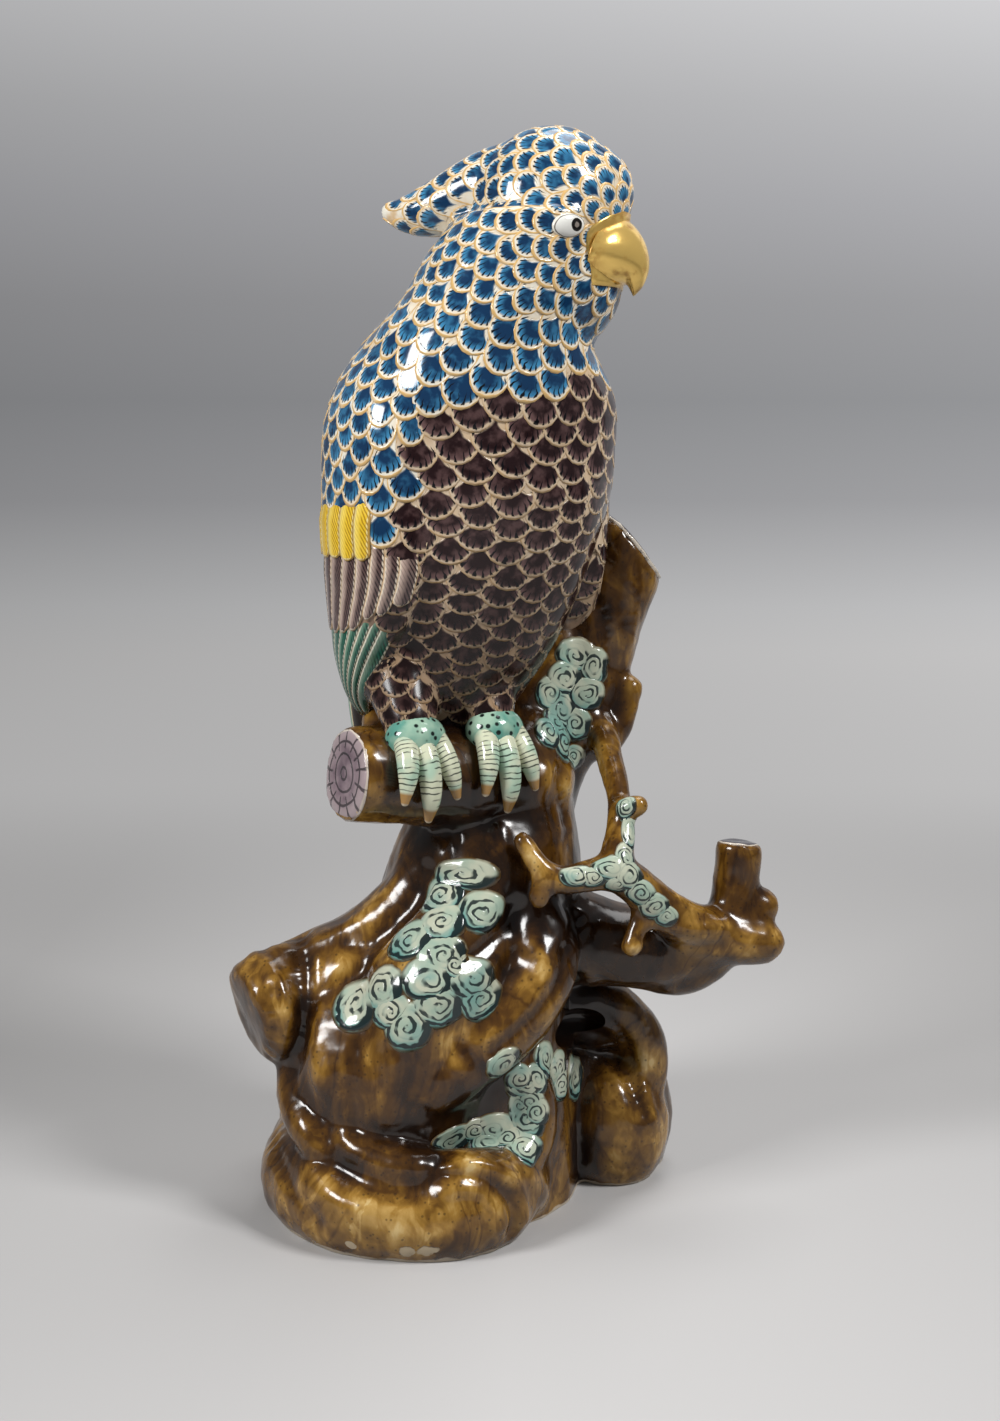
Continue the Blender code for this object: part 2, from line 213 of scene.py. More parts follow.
def joinUp(name, objects):
    pick(*objects)
    bpy.ops.object.join()
    obj = bpy.context.object
    obj.name = obj.data.name = name
    return obj


def fuse(obj, grain, softening, undulation=0.0):
    # Overlapping forms become one clay body, softened as under a glaze
    pick(obj)
    remesh = obj.modifiers.new("Fuse", "REMESH")
    remesh.mode = "VOXEL"
    remesh.voxel_size = grain * mm
    remesh.use_smooth_shade = True
    soften = obj.modifiers.new("Soften", "SMOOTH")
    soften.factor = 0.5
    soften.iterations = softening
    if undulation:
        clouds = bpy.data.textures.new("barkWaves", "CLOUDS")
        clouds.noise_scale = 13 * mm
        waves = obj.modifiers.new("Waves", "DISPLACE")
        waves.texture = clouds
        waves.texture_coords = "LOCAL"
        waves.strength = undulation * mm
        waves.mid_level = 0.5
    for modifier in list(obj.modifiers):
        bpy.ops.object.modifier_apply(modifier=modifier.name)


def carve(obj, cutter):
    pick(obj)
    cut = obj.modifiers.new("Carve", "BOOLEAN")
    cut.operation = "DIFFERENCE"
    cut.solver = "EXACT"
    cut.object = cutter
    bpy.ops.object.modifier_apply(modifier=cut.name)
    bpy.data.objects.remove(cutter, do_unlink=True)


def treeOf(obj):
    mesh = obj.data
    return BVHTree.FromPolygons([v.co[:] for v in mesh.vertices],
                                [p.vertices[:] for p in mesh.polygons])


def keepNumbers(obj, name, values):
    layer = obj.data.attributes.new(name, "FLOAT", "POINT")
    layer.data.foreach_set("value", np.asarray(values, dtype=np.float32))


def readNumbers(parts, key, width, kind=np.float32):
    flat = np.empty(len(parts) * width, dtype=kind)
    parts.foreach_get(key, flat)
    return flat.reshape(-1, width)


def places(obj):
    return readNumbers(obj.data.vertices, "co", 3).astype(float)


def normals(obj):
    return readNumbers(obj.data.vertex_normals, "vector", 3).astype(float)


def hollowness(obj, rounds):
    # How far each place lies below its surroundings, in millimetres
    here = places(obj)
    pairs = readNumbers(obj.data.edges, "vertices", 2, np.int32)
    count = np.bincount(pairs.ravel(), minlength=len(here)).astype(float)
    mean = here
    for i in range(rounds):
        total = np.transpose([
            np.bincount(pairs[:, 0], mean[pairs[:, 1], axis], minlength=len(here))
            + np.bincount(pairs[:, 1], mean[pairs[:, 0], axis], minlength=len(here))
            for axis in range(3)])
        mean = total / np.maximum(count, 1)[:, None]
    return ((mean - here) * normals(obj)).sum(axis=1) / mm


view = {"place": (-0.0019, -0.5401, 0.236), "tilt": 82, "focal": 1700, "wide": 1000, "high": 1421}


def seen(u, v, tree):
    # The place on a skin that shows at a point of the photograph's frame
    ray = Vector(((u - view["wide"] / 2) / view["focal"], (view["high"] / 2 - v) / view["focal"], -1))
    ray.rotate(Matrix.Rotation(radians(view["tilt"]), 3, "X").to_euler())
    return tree.ray_cast(Vector(view["place"]), ray.normalized())[:2]


class Patches:
    # Small sheets of enamel draped over a skin and kept as one mesh
    def __init__(self, tree):
        self.tree = tree
        self.points, self.faces, self.drawn, self.facts = [], [], [], []

    def lay(self, rows, wide, long, tone, edges="end"):
        start, columns = len(self.points), len(rows[0])
        laid = []
        for row in rows:
            for guess, uv, lift in row:
                spot, normal = self.tree.find_nearest(guess)[:2]
                laid.append((spot, normal))
                self.points.append(spot + normal * lift * mm)
                self.drawn.append(uv)
        for i in range(len(rows) - 1):
            for k in range(columns - 1):
                a = start + i * columns + k
                self.faces.append((a, a + 1, a + 1 + columns, a + columns))
        last = (len(rows) - 1) * columns
        rim = list(range(last, last + columns))
        if edges == "all":
            rim = ([i * columns for i in range(len(rows))] + rim[1:]
                   + [i * columns + columns - 1 for i in range(len(rows) - 2, -1, -1)]
                   + list(range(columns - 2, -1, -1)))
        under = len(self.points)
        for index in rim:
            spot, normal = laid[index]
            self.points.append(spot - normal * 0.5 * mm)
            self.drawn.append(self.drawn[start + index])
        for k in range(len(rim) - 1):
            self.faces.append((start + rim[k], start + rim[k + 1], under + k + 1, under + k))
        self.facts += [(wide, long, tone)] * (len(self.points) - start)

    def piece(self, name):
        mesh = bpy.data.meshes.new(name)
        mesh.from_pydata(self.points, [], self.faces)
        corners = readNumbers(mesh.loops, "vertex_index", 1, np.int32).ravel()
        drawn = np.array(self.drawn, dtype=np.float32)
        mesh.uv_layers.new(name="drawn").data.foreach_set("uv", drawn[corners].ravel())
        mesh.polygons.foreach_set("use_smooth", [True] * len(mesh.polygons))
        obj = addObject(name, mesh)
        for key, values in zip(("wide", "long", "tone"), zip(*self.facts)):
            keepNumbers(obj, key, values)
        return obj


# Finishes


def maths(operation, turned=False):
    # A method that adds one Math node, turned for 1 - wire and the like
    def method(self, other=0.0):
        ends = (other, self) if turned else (self, other)
        return self.node("ShaderNodeMath", dict(enumerate(ends)), {"operation": operation})
    return method


def colourOf(value):
    return value if isinstance(value, Wire) else (*value, 1)


class Wire:
    # One output of a material's nodes; sums on wires add Math nodes
    def __init__(self, material, socket=None):
        self.material, self.socket = material, socket

    __add__, __radd__ = maths("ADD"), maths("ADD", True)
    __sub__, __rsub__ = maths("SUBTRACT"), maths("SUBTRACT", True)
    __mul__, __rmul__ = maths("MULTIPLY"), maths("MULTIPLY", True)
    __truediv__, __rtruediv__ = maths("DIVIDE"), maths("DIVIDE", True)
    __abs__, root, fraction = maths("ABSOLUTE"), maths("SQRT"), maths("FRACT")
    least, most = maths("MINIMUM"), maths("MAXIMUM")
    sine, cosine, angle = maths("SINE"), maths("COSINE"), maths("ARCTAN2")

    def node(self, kind, sockets=None, settings=None, out=0):
        tree = self.material.node_tree
        made = tree.nodes.new(kind)
        for name, value in (settings or {}).items():
            if name == "stops":
                stops = made.color_ramp.elements
                while len(stops) < len(value):
                    stops.new(0.5)
                for stop, (place, colour) in zip(stops, value):
                    stop.position = place
                    stop.color = (*colour, 1)
            else:
                setattr(made, name, value)
        for key, value in (sockets or {}).items():
            if isinstance(value, Wire):
                tree.links.new(value.socket, made.inputs[key])
            else:
                made.inputs[key].default_value = value
        return Wire(self.material, made.outputs[out]) if len(made.outputs) else made

    def rise(self, low, high):
        # 0 below low, 1 above high, smooth between; turned round where low is the greater
        if low > high:
            return 1 - self.rise(high, low)
        return self.node("ShaderNodeMapRange", {0: self, 1: low, 2: high},
                         {"interpolation_type": "SMOOTHSTEP"})

    def stripes(self):
        # From 1 down to 0 and back over each whole number
        return abs(self.fraction() - 0.5) * 2

    def blend(self, first, second, how="MIX"):
        # Self is the factor
        return self.node("ShaderNodeMix", {0: self, 6: colourOf(first), 7: colourOf(second)},
                         {"data_type": "RGBA", "blend_type": how}, out=2)

    def ramp(self, stops):
        return self.node("ShaderNodeValToRGB", {"Fac": self}, {"stops": stops})

    def coords(self):
        return self.node("ShaderNodeTexCoord", out="Object")

    def elsewhere(self):
        # Coordinates moved away, so that a second noise differs from the first
        return self.node("ShaderNodeVectorMath", {0: self.coords(), 1: (3, 5, 7)},
                         {"operation": "ADD"})

    def noise(self, scale, detail=2, where=None, distortion=0):
        return self.node("ShaderNodeTexNoise", {
            "Vector": where or self.coords(), "Scale": scale, "Detail": detail,
            "Distortion": distortion})

    def dots(self, scale, randomness=1):
        return self.node("ShaderNodeTexVoronoi", {
            "Vector": self.coords(), "Scale": scale, "Randomness": randomness}, out="Distance")

    def number(self, name):
        return self.node("ShaderNodeAttribute", {}, {"attribute_name": name}, out="Fac")

    def split(self, vector):
        cut = self.node("ShaderNodeSeparateXYZ", {0: vector}).socket.node
        return [Wire(self.material, cut.outputs[axis]) for axis in range(3)]

    def place(self):
        return self.split(self.coords())

    def drawn(self):
        return self.split(self.node("ShaderNodeUVMap", {}, {"uv_map": "drawn"}))[:2]


def layered(paint, *layers):
    # Each layer is a mask and the colour that it lays over the ones before
    for mask, colour in layers:
        paint = mask.blend(paint, colour)
    return paint


def newFinish(name):
    material = bpy.data.materials.new(name)
    material.use_nodes = True
    material.node_tree.nodes.clear()
    return Wire(material)


def closeFinish(wire, colour, roughness=0.1, metallic=0, height=None, depth=0.1, shine=0.5):
    # Height is in shares of depth, which is in millimetres
    sockets = {"Base Color": colourOf(colour), "Roughness": roughness, "Metallic": metallic,
               "Specular IOR Level": shine}
    if height is not None:
        sockets["Normal"] = wire.node("ShaderNodeBump", {
            "Height": height, "Strength": 1, "Distance": depth * mm})
    shader = wire.node("ShaderNodeBsdfPrincipled", sockets)
    wire.node("ShaderNodeOutputMaterial", {"Surface": shader})
    return wire.material


def dress(material, *objects):
    for obj in objects:
        obj.data.materials.clear()
        obj.data.materials.append(material)


# Stump

stump = {
    "root": 17, "trunk": 31, "snag": 14, "limb": 8.3, "twig": 4.5, "perch": 17, "arm": 42,
    "wall": 9, "grain": 1.15, "softening": 18, "undulation": 1.2, "snagSlope": (0.75, 0.1, 0.66),
    "grooveDeepest": -2.6, "ridgeHighest": 2.2, "smoothUnder": 50,
}
limbTable = [
    # Trunk
    ("trunk", [(8, 4, 146, 0.5), (1, 4, 126, 0.84), (-3, 3, 112, 1), (-8, 4, 90, 1.08),
               (-12, 4, 66, 1.15), (-14, 4, 40, 1.25), (-14, 4, 6, 1.3), (-14, 4, -20, 1.3)]),
    # Left shoulder with its sawn knot
    ("root", [(-12, -4, 114, 0.95), (-24, -6, 93, 1.1), (-40, -7, 80, 1.08), (-55, -8, 73, 1.06),
              (-68, -12, 68, 1.06), (-77, -17, 65.5, 1.03), (-80, -18.6, 64.6, 0.88)], "cutEnd"),
    # Ridge over the belly
    ("root", [(-3, -7, 116, 0.8), (-9, -17, 97, 1), (-20, -25, 76, 1.3), (-28, -24, 54, 1.4)]),
    # Toe of the base and the lip rolled over it
    ("root", [(-62, 6, 12, 0.9), (-60, -20, 12, 1), (-44, -38, 12, 1.05), (-20, -43, 11, 1),
              (-4, -36, 11, 0.9), (2, -20, 14, 0.8)]),
    ("twig", [(-62, -14, 60, 0.7), (-66, -20, 46, 1.2), (-59, -32, 34, 1.6), (-44, -42, 29, 1.6),
              (-24, -48, 25, 1.7), (-8, -45, 23, 1.9), (4, -36, 18, 1.9), (8, -26, 10, 1.8),
              (4, -20, 0, 1.6)]),
    # Coiled root, and the ridge down to the toe
    ("root", [(4, -12, 110, 0.5), (11, -18, 96, 0.6), (13, -22, 83, 0.7), (5, -27, 70, 0.75),
              (-8, -33, 60, 0.75), (-20, -36, 50, 0.7)]),
    ("root", [(-2, -22, 56, 0.5), (8, -22, 44, 0.5), (10, -24, 30, 0.5), (4, -32, 20, 0.5)]),
    # Right-hand root and the knee inside its arch
    ("root", [(10, 8, 76, 0.7), (26, 14, 58, 0.72), (40, 21, 48, 0.74), (43, 24, 34, 0.74),
              (46, 24, 18, 0.84), (43, 24, 2, 0.82), (42, 24, -12, 0.7)]),
    ("limb", [(24, 6, 62, 0.95), (38, 8, 59, 1), (47, 11, 48, 1), (49, 13, 34, 0.95),
              (46, 12, 22, 0.85)]),
    # Back roots
    ("root", [(-6, 18, 112, 0.7), (-14, 30, 84, 0.85), (-20, 38, 50, 0.95), (-24, 42, 8, 1),
              (-24, 42, -12, 1)]),
    ("root", [(8, 16, 100, 0.7), (14, 30, 66, 0.85), (16, 42, 30, 0.95), (16, 44, -6, 0.95)]),
    ("root", [(-34, 6, 84, 0.8), (-50, 16, 58, 0.95), (-58, 22, 30, 1), (-60, 24, -6, 1)]),
    # Bark behind the legs and under the tail
    ("perch", [(-14, 4, 134, 0.95), (-20, 8, 152, 0.85), (-24, 10, 168, 0.75),
               (-22, 10, 184, 0.5)]),
    ("perch", [(-34, -14, 150, 0.6), (-32, -6, 160, 0.65), (-26, 2, 168, 0.6)]),
    ("snag", [(2, 8, 140, 1.1), (10, 14, 160, 1), (20, 20, 180, 0.8)]),
    # Finger left of a lost shoot, and the thin shoot in front
    ("twig", [(27, 16, 148, 1.3), (34, 15, 147, 1.3), (39, 16, 154, 1.15), (43, 17, 165, 1)]),
    ("twig", [(26, 14, 157, 1.5), (33, 9, 152, 1.15), (36, -1, 142, 1), (38, -14, 130, 0.95),
              (36, -25, 116, 1.3)]),
    ("twig", [(38, -17, 131, 0.9), (43, -19, 133, 0.85)]),
    # Forked branch
    ("limb", [(7, -29, 124, 0.36), (13, -31, 115, 0.5), (20, -31, 112, 0.58), (29, -28, 113, 0.66),
              (38, -25, 112, 0.76), (49, -21, 102, 0.82), (60, -15, 93, 1), (70, -10, 89, 1.1),
              (84, -8, 86, 0.95)]),
    ("limb", [(14, -31, 114, 0.5), (12, -32, 106, 0.42)]),
    ("twig", [(46, -22, 102, 1), (42, -25, 94, 0.7), (41, -26, 90, 0.9)]),
    # Thick branch behind it, with its web
    ("limb", [(14, 0, 88, 2.2), (34, -2, 84, 1.75), (54, -5, 83, 1.45), (70, -7, 87, 1.2)]),
    ("limb", [(36, 0, 78, 1), (50, -2, 76, 1), (60, -4, 76, 1.05), (70, -6, 82, 0.9)]),
    # Upright stub with its knot
    ("limb", [(75, -6, 90, 1.05), (76, -5, 104, 0.93), (77, -4, 118, 0.93)], "cutEnd"),
    ("limb", [(77, -5, 96, 0.85), (84, -5, 97, 0.78)]),
]
# Ridges and grooves pressed into the clay: depth, width and course in the photograph's frame
reliefs = [
    (1.3, 2.6, [(254, 956), (268, 966), (281, 990), (288, 1020), (284, 1052)]),
    (1.5, 4.0, [(346, 960), (330, 984), (321, 1012), (316, 1046), (320, 1080)]),
    (-2.0, 3.6, [(296, 926), (303, 960), (306, 1000), (302, 1040), (294, 1072)]),
    (0.9, 1.8, [(318, 958), (315, 990), (309, 1022)]),
    (-0.9, 2.0, [(268, 994), (274, 1030), (267, 1062)]),
    (-2.2, 4.5, [(326, 1140), (340, 1168), (368, 1186), (402, 1191), (428, 1180), (440, 1160)]),
    (1.4, 2.8, [(452, 1166), (482, 1164), (507, 1176), (521, 1196), (524, 1218)]),
    (-1.6, 2.4, [(434, 1176), (470, 1177), (498, 1188), (513, 1208), (513, 1232)]),
    (1.2, 3.2, [(446, 1192), (474, 1190), (496, 1202), (503, 1224)]),
    (1.6, 6.0, [(292, 1086), (300, 1124), (313, 1162), (334, 1192), (364, 1208)]),
    (-1.2, 3.0, [(272, 1130), (280, 1164), (296, 1196), (318, 1222)]),
    (-1.8, 3.0, [(466, 962), (484, 948), (502, 932), (516, 912)]),
    (-1.5, 2.4, [(492, 1052), (514, 1032), (540, 1006), (558, 980), (566, 950)]),
    (1.2, 3.5, [(516, 942), (538, 952), (546, 980), (528, 1010), (500, 1034)]),
    (-1.5, 3.0, [(452, 1012), (462, 1046), (484, 1070)]),
    (-1.4, 2.6, [(608, 1054), (628, 1078), (644, 1112)]),
    (1.2, 3.0, [(634, 1008), (646, 1046), (644, 1086), (652, 1120)]),
    (-1.3, 2.6, [(596, 1012), (618, 1030), (630, 1056)]),
    (1.2, 4.5, [(402, 872), (386, 896), (356, 922), (318, 938), (276, 950)]),
    (-1.5, 4.0, [(424, 872), (410, 908), (382, 934), (346, 948)]),
    (-1.0, 2.2, [(576, 916), (570, 946), (578, 976)]),
    (0.9, 2.4, [(588, 926), (582, 956), (592, 984)]),
    (-1.2, 3.0, [(440, 822), (452, 850), (448, 880)]),
    (1.0, 3.0, [(500, 830), (506, 862), (500, 900)]),
    (-1.0, 2.5, [(356, 1050), (350, 1090), (356, 1126)]),
    (0.9, 3.0, [(394, 1066), (390, 1106), (398, 1140)]),
    (-1.4, 2.6, [(590, 590), (606, 630), (612, 668)]),
    (1.0, 3.0, [(622, 560), (634, 596), (630, 640)]),
    (-1.3, 3.0, [(566, 820), (560, 780), (572, 752)]),
    (1.1, 3.0, [(548, 838), (540, 800), (548, 770)]),
    (-1.0, 2.6, [(660, 940), (690, 948), (720, 946)]),
    (1.0, 2.6, [(650, 926), (690, 930), (726, 926)]),
]
snagPath = [(4, 8, 106, 1.3), (11, 13, 126, 1.0), (15, 16, 140, 1.0), (22, 20, 154, 1.04),
            (28, 23, 170, 1.04), (34, 24, 188, 1.0), (43, 25, 212, 0.98)]


# Hollow under the foot: share of the perch's height, share of the trunk's radius
roomLevels = [(-0.1, 1.3), (0.0, 1.3), (0.22, 1.25), (0.42, 1.1), (0.6, 0.98), (0.74, 0.7)]


def distances(points, spot):
    return np.linalg.norm(points - np.array(spot), axis=1)


def pressReliefs(obj):
    tree = treeOf(obj)
    here = places(obj)
    push = np.zeros(len(here))
    for depth, width, course in reliefs:
        nearest = np.full(len(here), 1.0)
        for u, v in smoothPath(course, 5):
            hit = seen(u, v, tree)[0]
            if hit is not None:
                nearest = np.minimum(nearest, distances(here, hit))
        push += depth * np.exp(-(nearest / mm / width) ** 2)
    here += normals(obj) * (np.clip(push, stump["grooveDeepest"], stump["ridgeHighest"]) * mm)[:, None]
    obj.data.vertices.foreach_set("co", here.ravel())
    obj.data.update()


def buildStump():
    limbs = [limb(stump[key], points, cutEnd=bool(cut)) for key, points, *cut in limbTable]
    levels = [(-1, 0.28, 0.86), (-0.6, 0.16, 0.92), (0, 0, 1), (0.3, -0.1, 1), (0.55, -0.2, 0.95)]
    limbs.append(limb(stump["perch"], [
        (*(perch - rightHand * stump["arm"] * r + up * stump["perch"] * h), girth)
        for r, h, girth in levels], cutStart=True, steps=0))
    centres, radii = limb(stump["snag"], snagPath, cutEnd=True)
    reach = (centres[-1] - centres[-2]).normalized()
    snagTop = growLimbs("snag", [([*centres, centres[-1] + reach * 9], [*radii, radii[-1]])])
    inEditMode(snagTop, (bpy.ops.mesh.bisect, {
        "plane_co": world(centres[-1]), "plane_no": stump["snagSlope"], "clear_outer": True,
        "use_fill": True}))
    r = stump["root"]
    masses = [((-33, -12, 48), (2.15, 2.05, 2.2)), ((27, 26, 17), (1.75, 1.6, 1.9)),
              ((38, 12, 17), (1.15, 1.05, 1.4))]
    obj = joinUp("stump", [growLimbs("stump", limbs), snagTop] + [
        addEgg(Vector(place), [r * share for share in shares]) for place, shares in masses])
    fuse(obj, stump["grain"], stump["softening"], stump["undulation"])
    pressReliefs(obj)
    inEditMode(obj, (bpy.ops.mesh.bisect, {
        "plane_co": (0, 0, 0), "plane_no": (0, 0, 1), "clear_inner": True, "use_fill": True}))
    room = limb(1, [(-13, 2, perch.z * height, stump["trunk"] * share - stump["wall"])
                    for height, share in roomLevels], cutStart=True, steps=0)
    carve(obj, growLimbs("room", [room]))
    carve(obj, addEgg(Vector((26, -6, 56)), (r * 0.62, r * 0.8, r * 0.36)))
    pick(obj)
    bpy.ops.object.shade_smooth_by_angle(angle=radians(stump["smoothUnder"]))
    return obj


stumpPiece = buildStump()
stumpTree = treeOf(stumpPiece)
print("stump", len(stumpPiece.data.polygons), "faces")


# Bird's skin

bodyLevels = [
    (-12, -1, 14, 0.40, 0.36), (-10, -2, 26, 0.56, 0.54), (-8, -3, 39, 0.72, 0.72),
    (-6, -5, 59, 0.88, 0.9), (-2, -8, 86, 0.98, 0.99), (-1, -8, 102, 1.02, 1.0),
    (2, -7, 117, 1.0, 0.95), (4, -4, 134, 0.83, 0.86), (9, -8, 147, 0.72, 0.77),
    (12, -11, 158, 0.67, 0.7), (16, -16, 170, 0.58, 0.64),
]
# Height, half width and depth, leading and trailing angle, how far the wing stands off
wingLevels = smoothPath([
    (141, 0.72, 0.76, 20, -60, 0.0), (133, 0.83, 0.84, 30, -68, 0.35),
    (122, 0.94, 0.92, 37, -74, 0.75), (110, 1.0, 0.96, 41, -78, 1.0),
    (96, 1.02, 1.0, 38, -80, 1.0), (78, 1.02, 0.99, 36, -80, 1.0),
    (64, 1.0, 0.96, 34.5, -78, 1.0), (52, 0.98, 0.92, 27, -74, 1.0),
    (42, 0.96, 0.86, 16, -66, 1.0), (32, 0.93, 0.8, 0, -56, 0.9),
    (24, 0.9, 0.76, -17, -44, 0.7), (19, 0.88, 0.74, -26, -36, 0.4),
], 4)
# How far the far and the near wing stand off, and how far back each one's leading edge is
wingStand = {-1: (0.7, 16), 1: (1.6, 0)}
tailPath = [(-28, 0, 84, 1.5), (-33, 4, 62, 1.7), (-34, 9, 44, 1.55), (-30, 13, 27, 1.3),
            (-26, 16, 12, 1.0), (-24, 17, 1, 0.7)]
crown = onBird(17, -20.5, 172)  # middle of the head


def onHead(forward, height):
    return crown + facing * bird["head"] * forward + up * bird["head"] * height


beakRoot = onHead(0.5, -0.65)


def wingShape(hand, height):
    rows = wingLevels[::-1]
    height = min(max(height, rows[0][0]), rows[-1][0])
    for low, high in zip(rows, rows[1:]):
        if height <= high[0]:
            t = (height - low[0]) / (high[0] - low[0])
            level = [a + (b - a) * t for a, b in zip(low, high)]
            break
    rise, back = wingStand[hand]
    rise *= bird["wingRise"]
    level[1] *= bird["halfWidth"]
    level[2] *= bird["halfDepth"]
    return level[1:], rise, back


def wingSpot(hand, share, height, inside=0.0):
    # Share runs from the wing's leading edge to its trailing edge
    (wide, deep, lead, trail, off), rise, back = wingShape(hand, height)
    angle = radians(lead + (trail - lead) * share - back * (1 - share))
    bulge = rise * off * (1 - abs(2 * share - 1) ** 7) if not inside else -inside
    return (onBird(-3, -7.5, height) + rightHand * hand * cos(angle) * (wide + bulge)
            + ahead * sin(angle) * (deep + bulge))


def buildBird():
    rings = []
    for forward, right, height, width, depth in smoothPath(bodyLevels, 5):
        centre = onBird(forward, right, height)
        rings.append([centre + rightHand * width * bird["halfWidth"] * cos(a)
                      + ahead * depth * bird["halfDepth"] * sin(a) for a in circle(48)])
    parts = [loft("birdSkin", rings)]
    for hand in (-1, 1):
        parts.append(loft("wing", [
            [wingSpot(hand, k / 16, level[0]) for k in range(17)]
            + [wingSpot(hand, k / 16, level[0], 9) for k in range(16, -1, -1)]
            for level in wingLevels]))
    # Skull, brow, throat and nape: place on the head and three radii, in shares of its size
    for forward, height, *radii in [
            (0, 0, 0.98, 0.9, 1.02), (0.41, 0.2, 0.62, 0.61, 0.6), (0.08, -0.8, 0.82, 0.84, 0.93),
            (-0.3, -0.7, 1.1, 0.95, 0.9)]:
        parts.append(addEgg(onHead(forward, height), [bird["head"] * r for r in radii], facing))
    parts.append(addEgg(beakRoot + facing * 2.2 - up * 9.24, (5.72, 4.84, 4.4), facing))
    crest = [(0.08, 0.45, 1.25), (-0.7, 0.34, 1.12), (-1.25, 0.15, 0.96), (-1.7, 0.04, 0.7),
             (-1.98, 0.04, 0.46), (-2.1, 0.07, 0.32)]
    limbs = [
        limb(bird["crest"], [(*onHead(x, z), share) for x, z, share in crest], steps=4),
        limb(bird["tail"], [(*onBird(*point[:3]), point[3]) for point in tailPath], steps=4)]
    s = bird["shank"]
    for hand in (-1, 1):
        across = footSide(hand)
        limbs.append(limb(s, [
            (*(onBird(-8, -5, 48) + across), 2.1), (*(onBird(-2, -2, 31) + across), 1.7),
            (*(perch + across + ahead * s + up * (stump["perch"] + 0.3 * s)), 1.15),
            (*(perch + across + ahead * 0.7 * s), 1.0)], steps=0))
    obj = joinUp("birdSkin", [*parts, growLimbs("limbs", limbs)])
    fuse(obj, bird["grain"], bird["softening"])
    return obj


birdSkin = buildBird()
birdTree = treeOf(birdSkin)
print("bird's skin", len(birdSkin.data.polygons), "faces")


# Beak, eyes, feet

beak = {
    "size": 22, "lift": 0.55, "goldTop": -1.5, "goldFall": 22, "goldFront": 24,
    "faceWide": 21.6, "faceLong": 23.8,
    # Upper edge, lower edge and half width of each ring, as shares of the size
    "rings": [((0.30, 0.62), (0.02, -0.30), 0.74), ((0.52, 0.55), (0.14, -0.34), 0.69),
              ((0.70, 0.35), (0.27, -0.34), 0.56), ((0.79, 0.12), (0.40, -0.30), 0.41),
              ((0.80, -0.10), (0.50, -0.29), 0.27), ((0.73, -0.30), (0.56, -0.38), 0.13),
              ((0.63, -0.42), (0.59, -0.44), 0.04)],
}


def buildBeak():
    size = beak["size"]
    path = smoothPath([(*top, *low, wide) for top, low, wide in beak["rings"]], 6)
    rings = []
    for x, z, lowX, lowZ, wide in path:
        top, low = facing * x + up * z, facing * lowX + up * lowZ
        middle, half = (top + low) / 2, (top - low) / 2
        rings.append([beakRoot + size * (middle + half * sin(a) + headSide * wide * cos(a)
                                         * (1 - 0.18 * sin(a)))
                      for a in circle(32)])
    return loft("beak", rings)


beakPiece = buildBeak()
beakTree = treeOf(beakPiece)

eye = {"radii": (5.4, 1.9, 3.5), "forward": 9.6, "down": 7.2, "pupil": (1.9, 1.2, 0.2)}


def buildEyes():
    # The near eye sits where the photograph shows it, the far one mirrors it
    hit, normal = birdTree.find_nearest(world(
        crown + facing * eye["forward"] - up * eye["down"] + headSide * 21))[:2]
    forward, aside, above = eye["pupil"]
    middle = hit / mm - shift
    eyes, middles, gaps, rims = [], [], [], []
    for mirrored in (False, True):
        centre, out = middle.copy(), normal.copy()
        if mirrored:
            centre -= headSide * 2 * (centre - crown).dot(headSide)
            out -= headSide * 2 * out.dot(headSide)
        long = (facing - out * out.dot(facing)).normalized()
        high = out.cross(long)
        egg = addEgg(Vector((0, 0, 0)), eye["radii"], segments=36)
        turn = Matrix((long, out, high)).transposed().to_4x4()
        egg.data.transform(Matrix.Translation(world(centre - out * 0.3)) @ turn
                           @ Matrix.Translation(-world(Vector((0, 0, 0)))))
        pupil = world(centre) + (long * forward + out * aside + high * above) * mm
        for v in egg.data.vertices:
            away = v.co - world(centre)
            gaps.append((v.co - pupil).length / mm)
            rims.append(sqrt((away.dot(long) / eye["radii"][0]) ** 2
                             + (away.dot(high) / eye["radii"][2]) ** 2) / mm)
        eyes.append(egg)
        middles.append(world(centre))
    obj = joinUp("eyes", eyes)
    keepNumbers(obj, "fromPupil", gaps)
    keepNumbers(obj, "fromMiddle", rims)
    pick(obj)
    bpy.ops.object.shade_smooth()
    return obj, middles


eyesPiece, pupils = buildEyes()


def buildBeakBase():
    # Gold leaf carried back onto the face round the beak
    sheet = Patches(birdTree)
    rows = []
    for k in range(13):
        t = k / 12
        height = beak["goldTop"] - beak["goldFall"] * t
        start = 23 - 9 * sin(pi / 2 * min(1, t * 2.6)) + 2.5 * t
        side = beak["faceWide"] * sqrt(1 - (start / beak["faceLong"]) ** 2)
        row = []
        for i in range(25):
            turn = -1 + i / 12
            reach = start + (beak["goldFront"] - start) * (1 - turn * turn)
            row.append((world(crown + facing * reach + headSide * side * turn + up * height),
                        (i / 24, t), beak["lift"]))
        rows.append(row)
    sheet.lay(rows, 20, 20, 0.5, edges="all")
    return sheet.piece("beakBase")


beakBase = buildBeakBase()


# Steps of a toe over the perch: angle round it and share of the toe's radius
toeSteps = [(66, 1.12), (50, 1.15), (33, 1.14), (15, 1.08), (-5, 0.9), (-24, 0.4)]


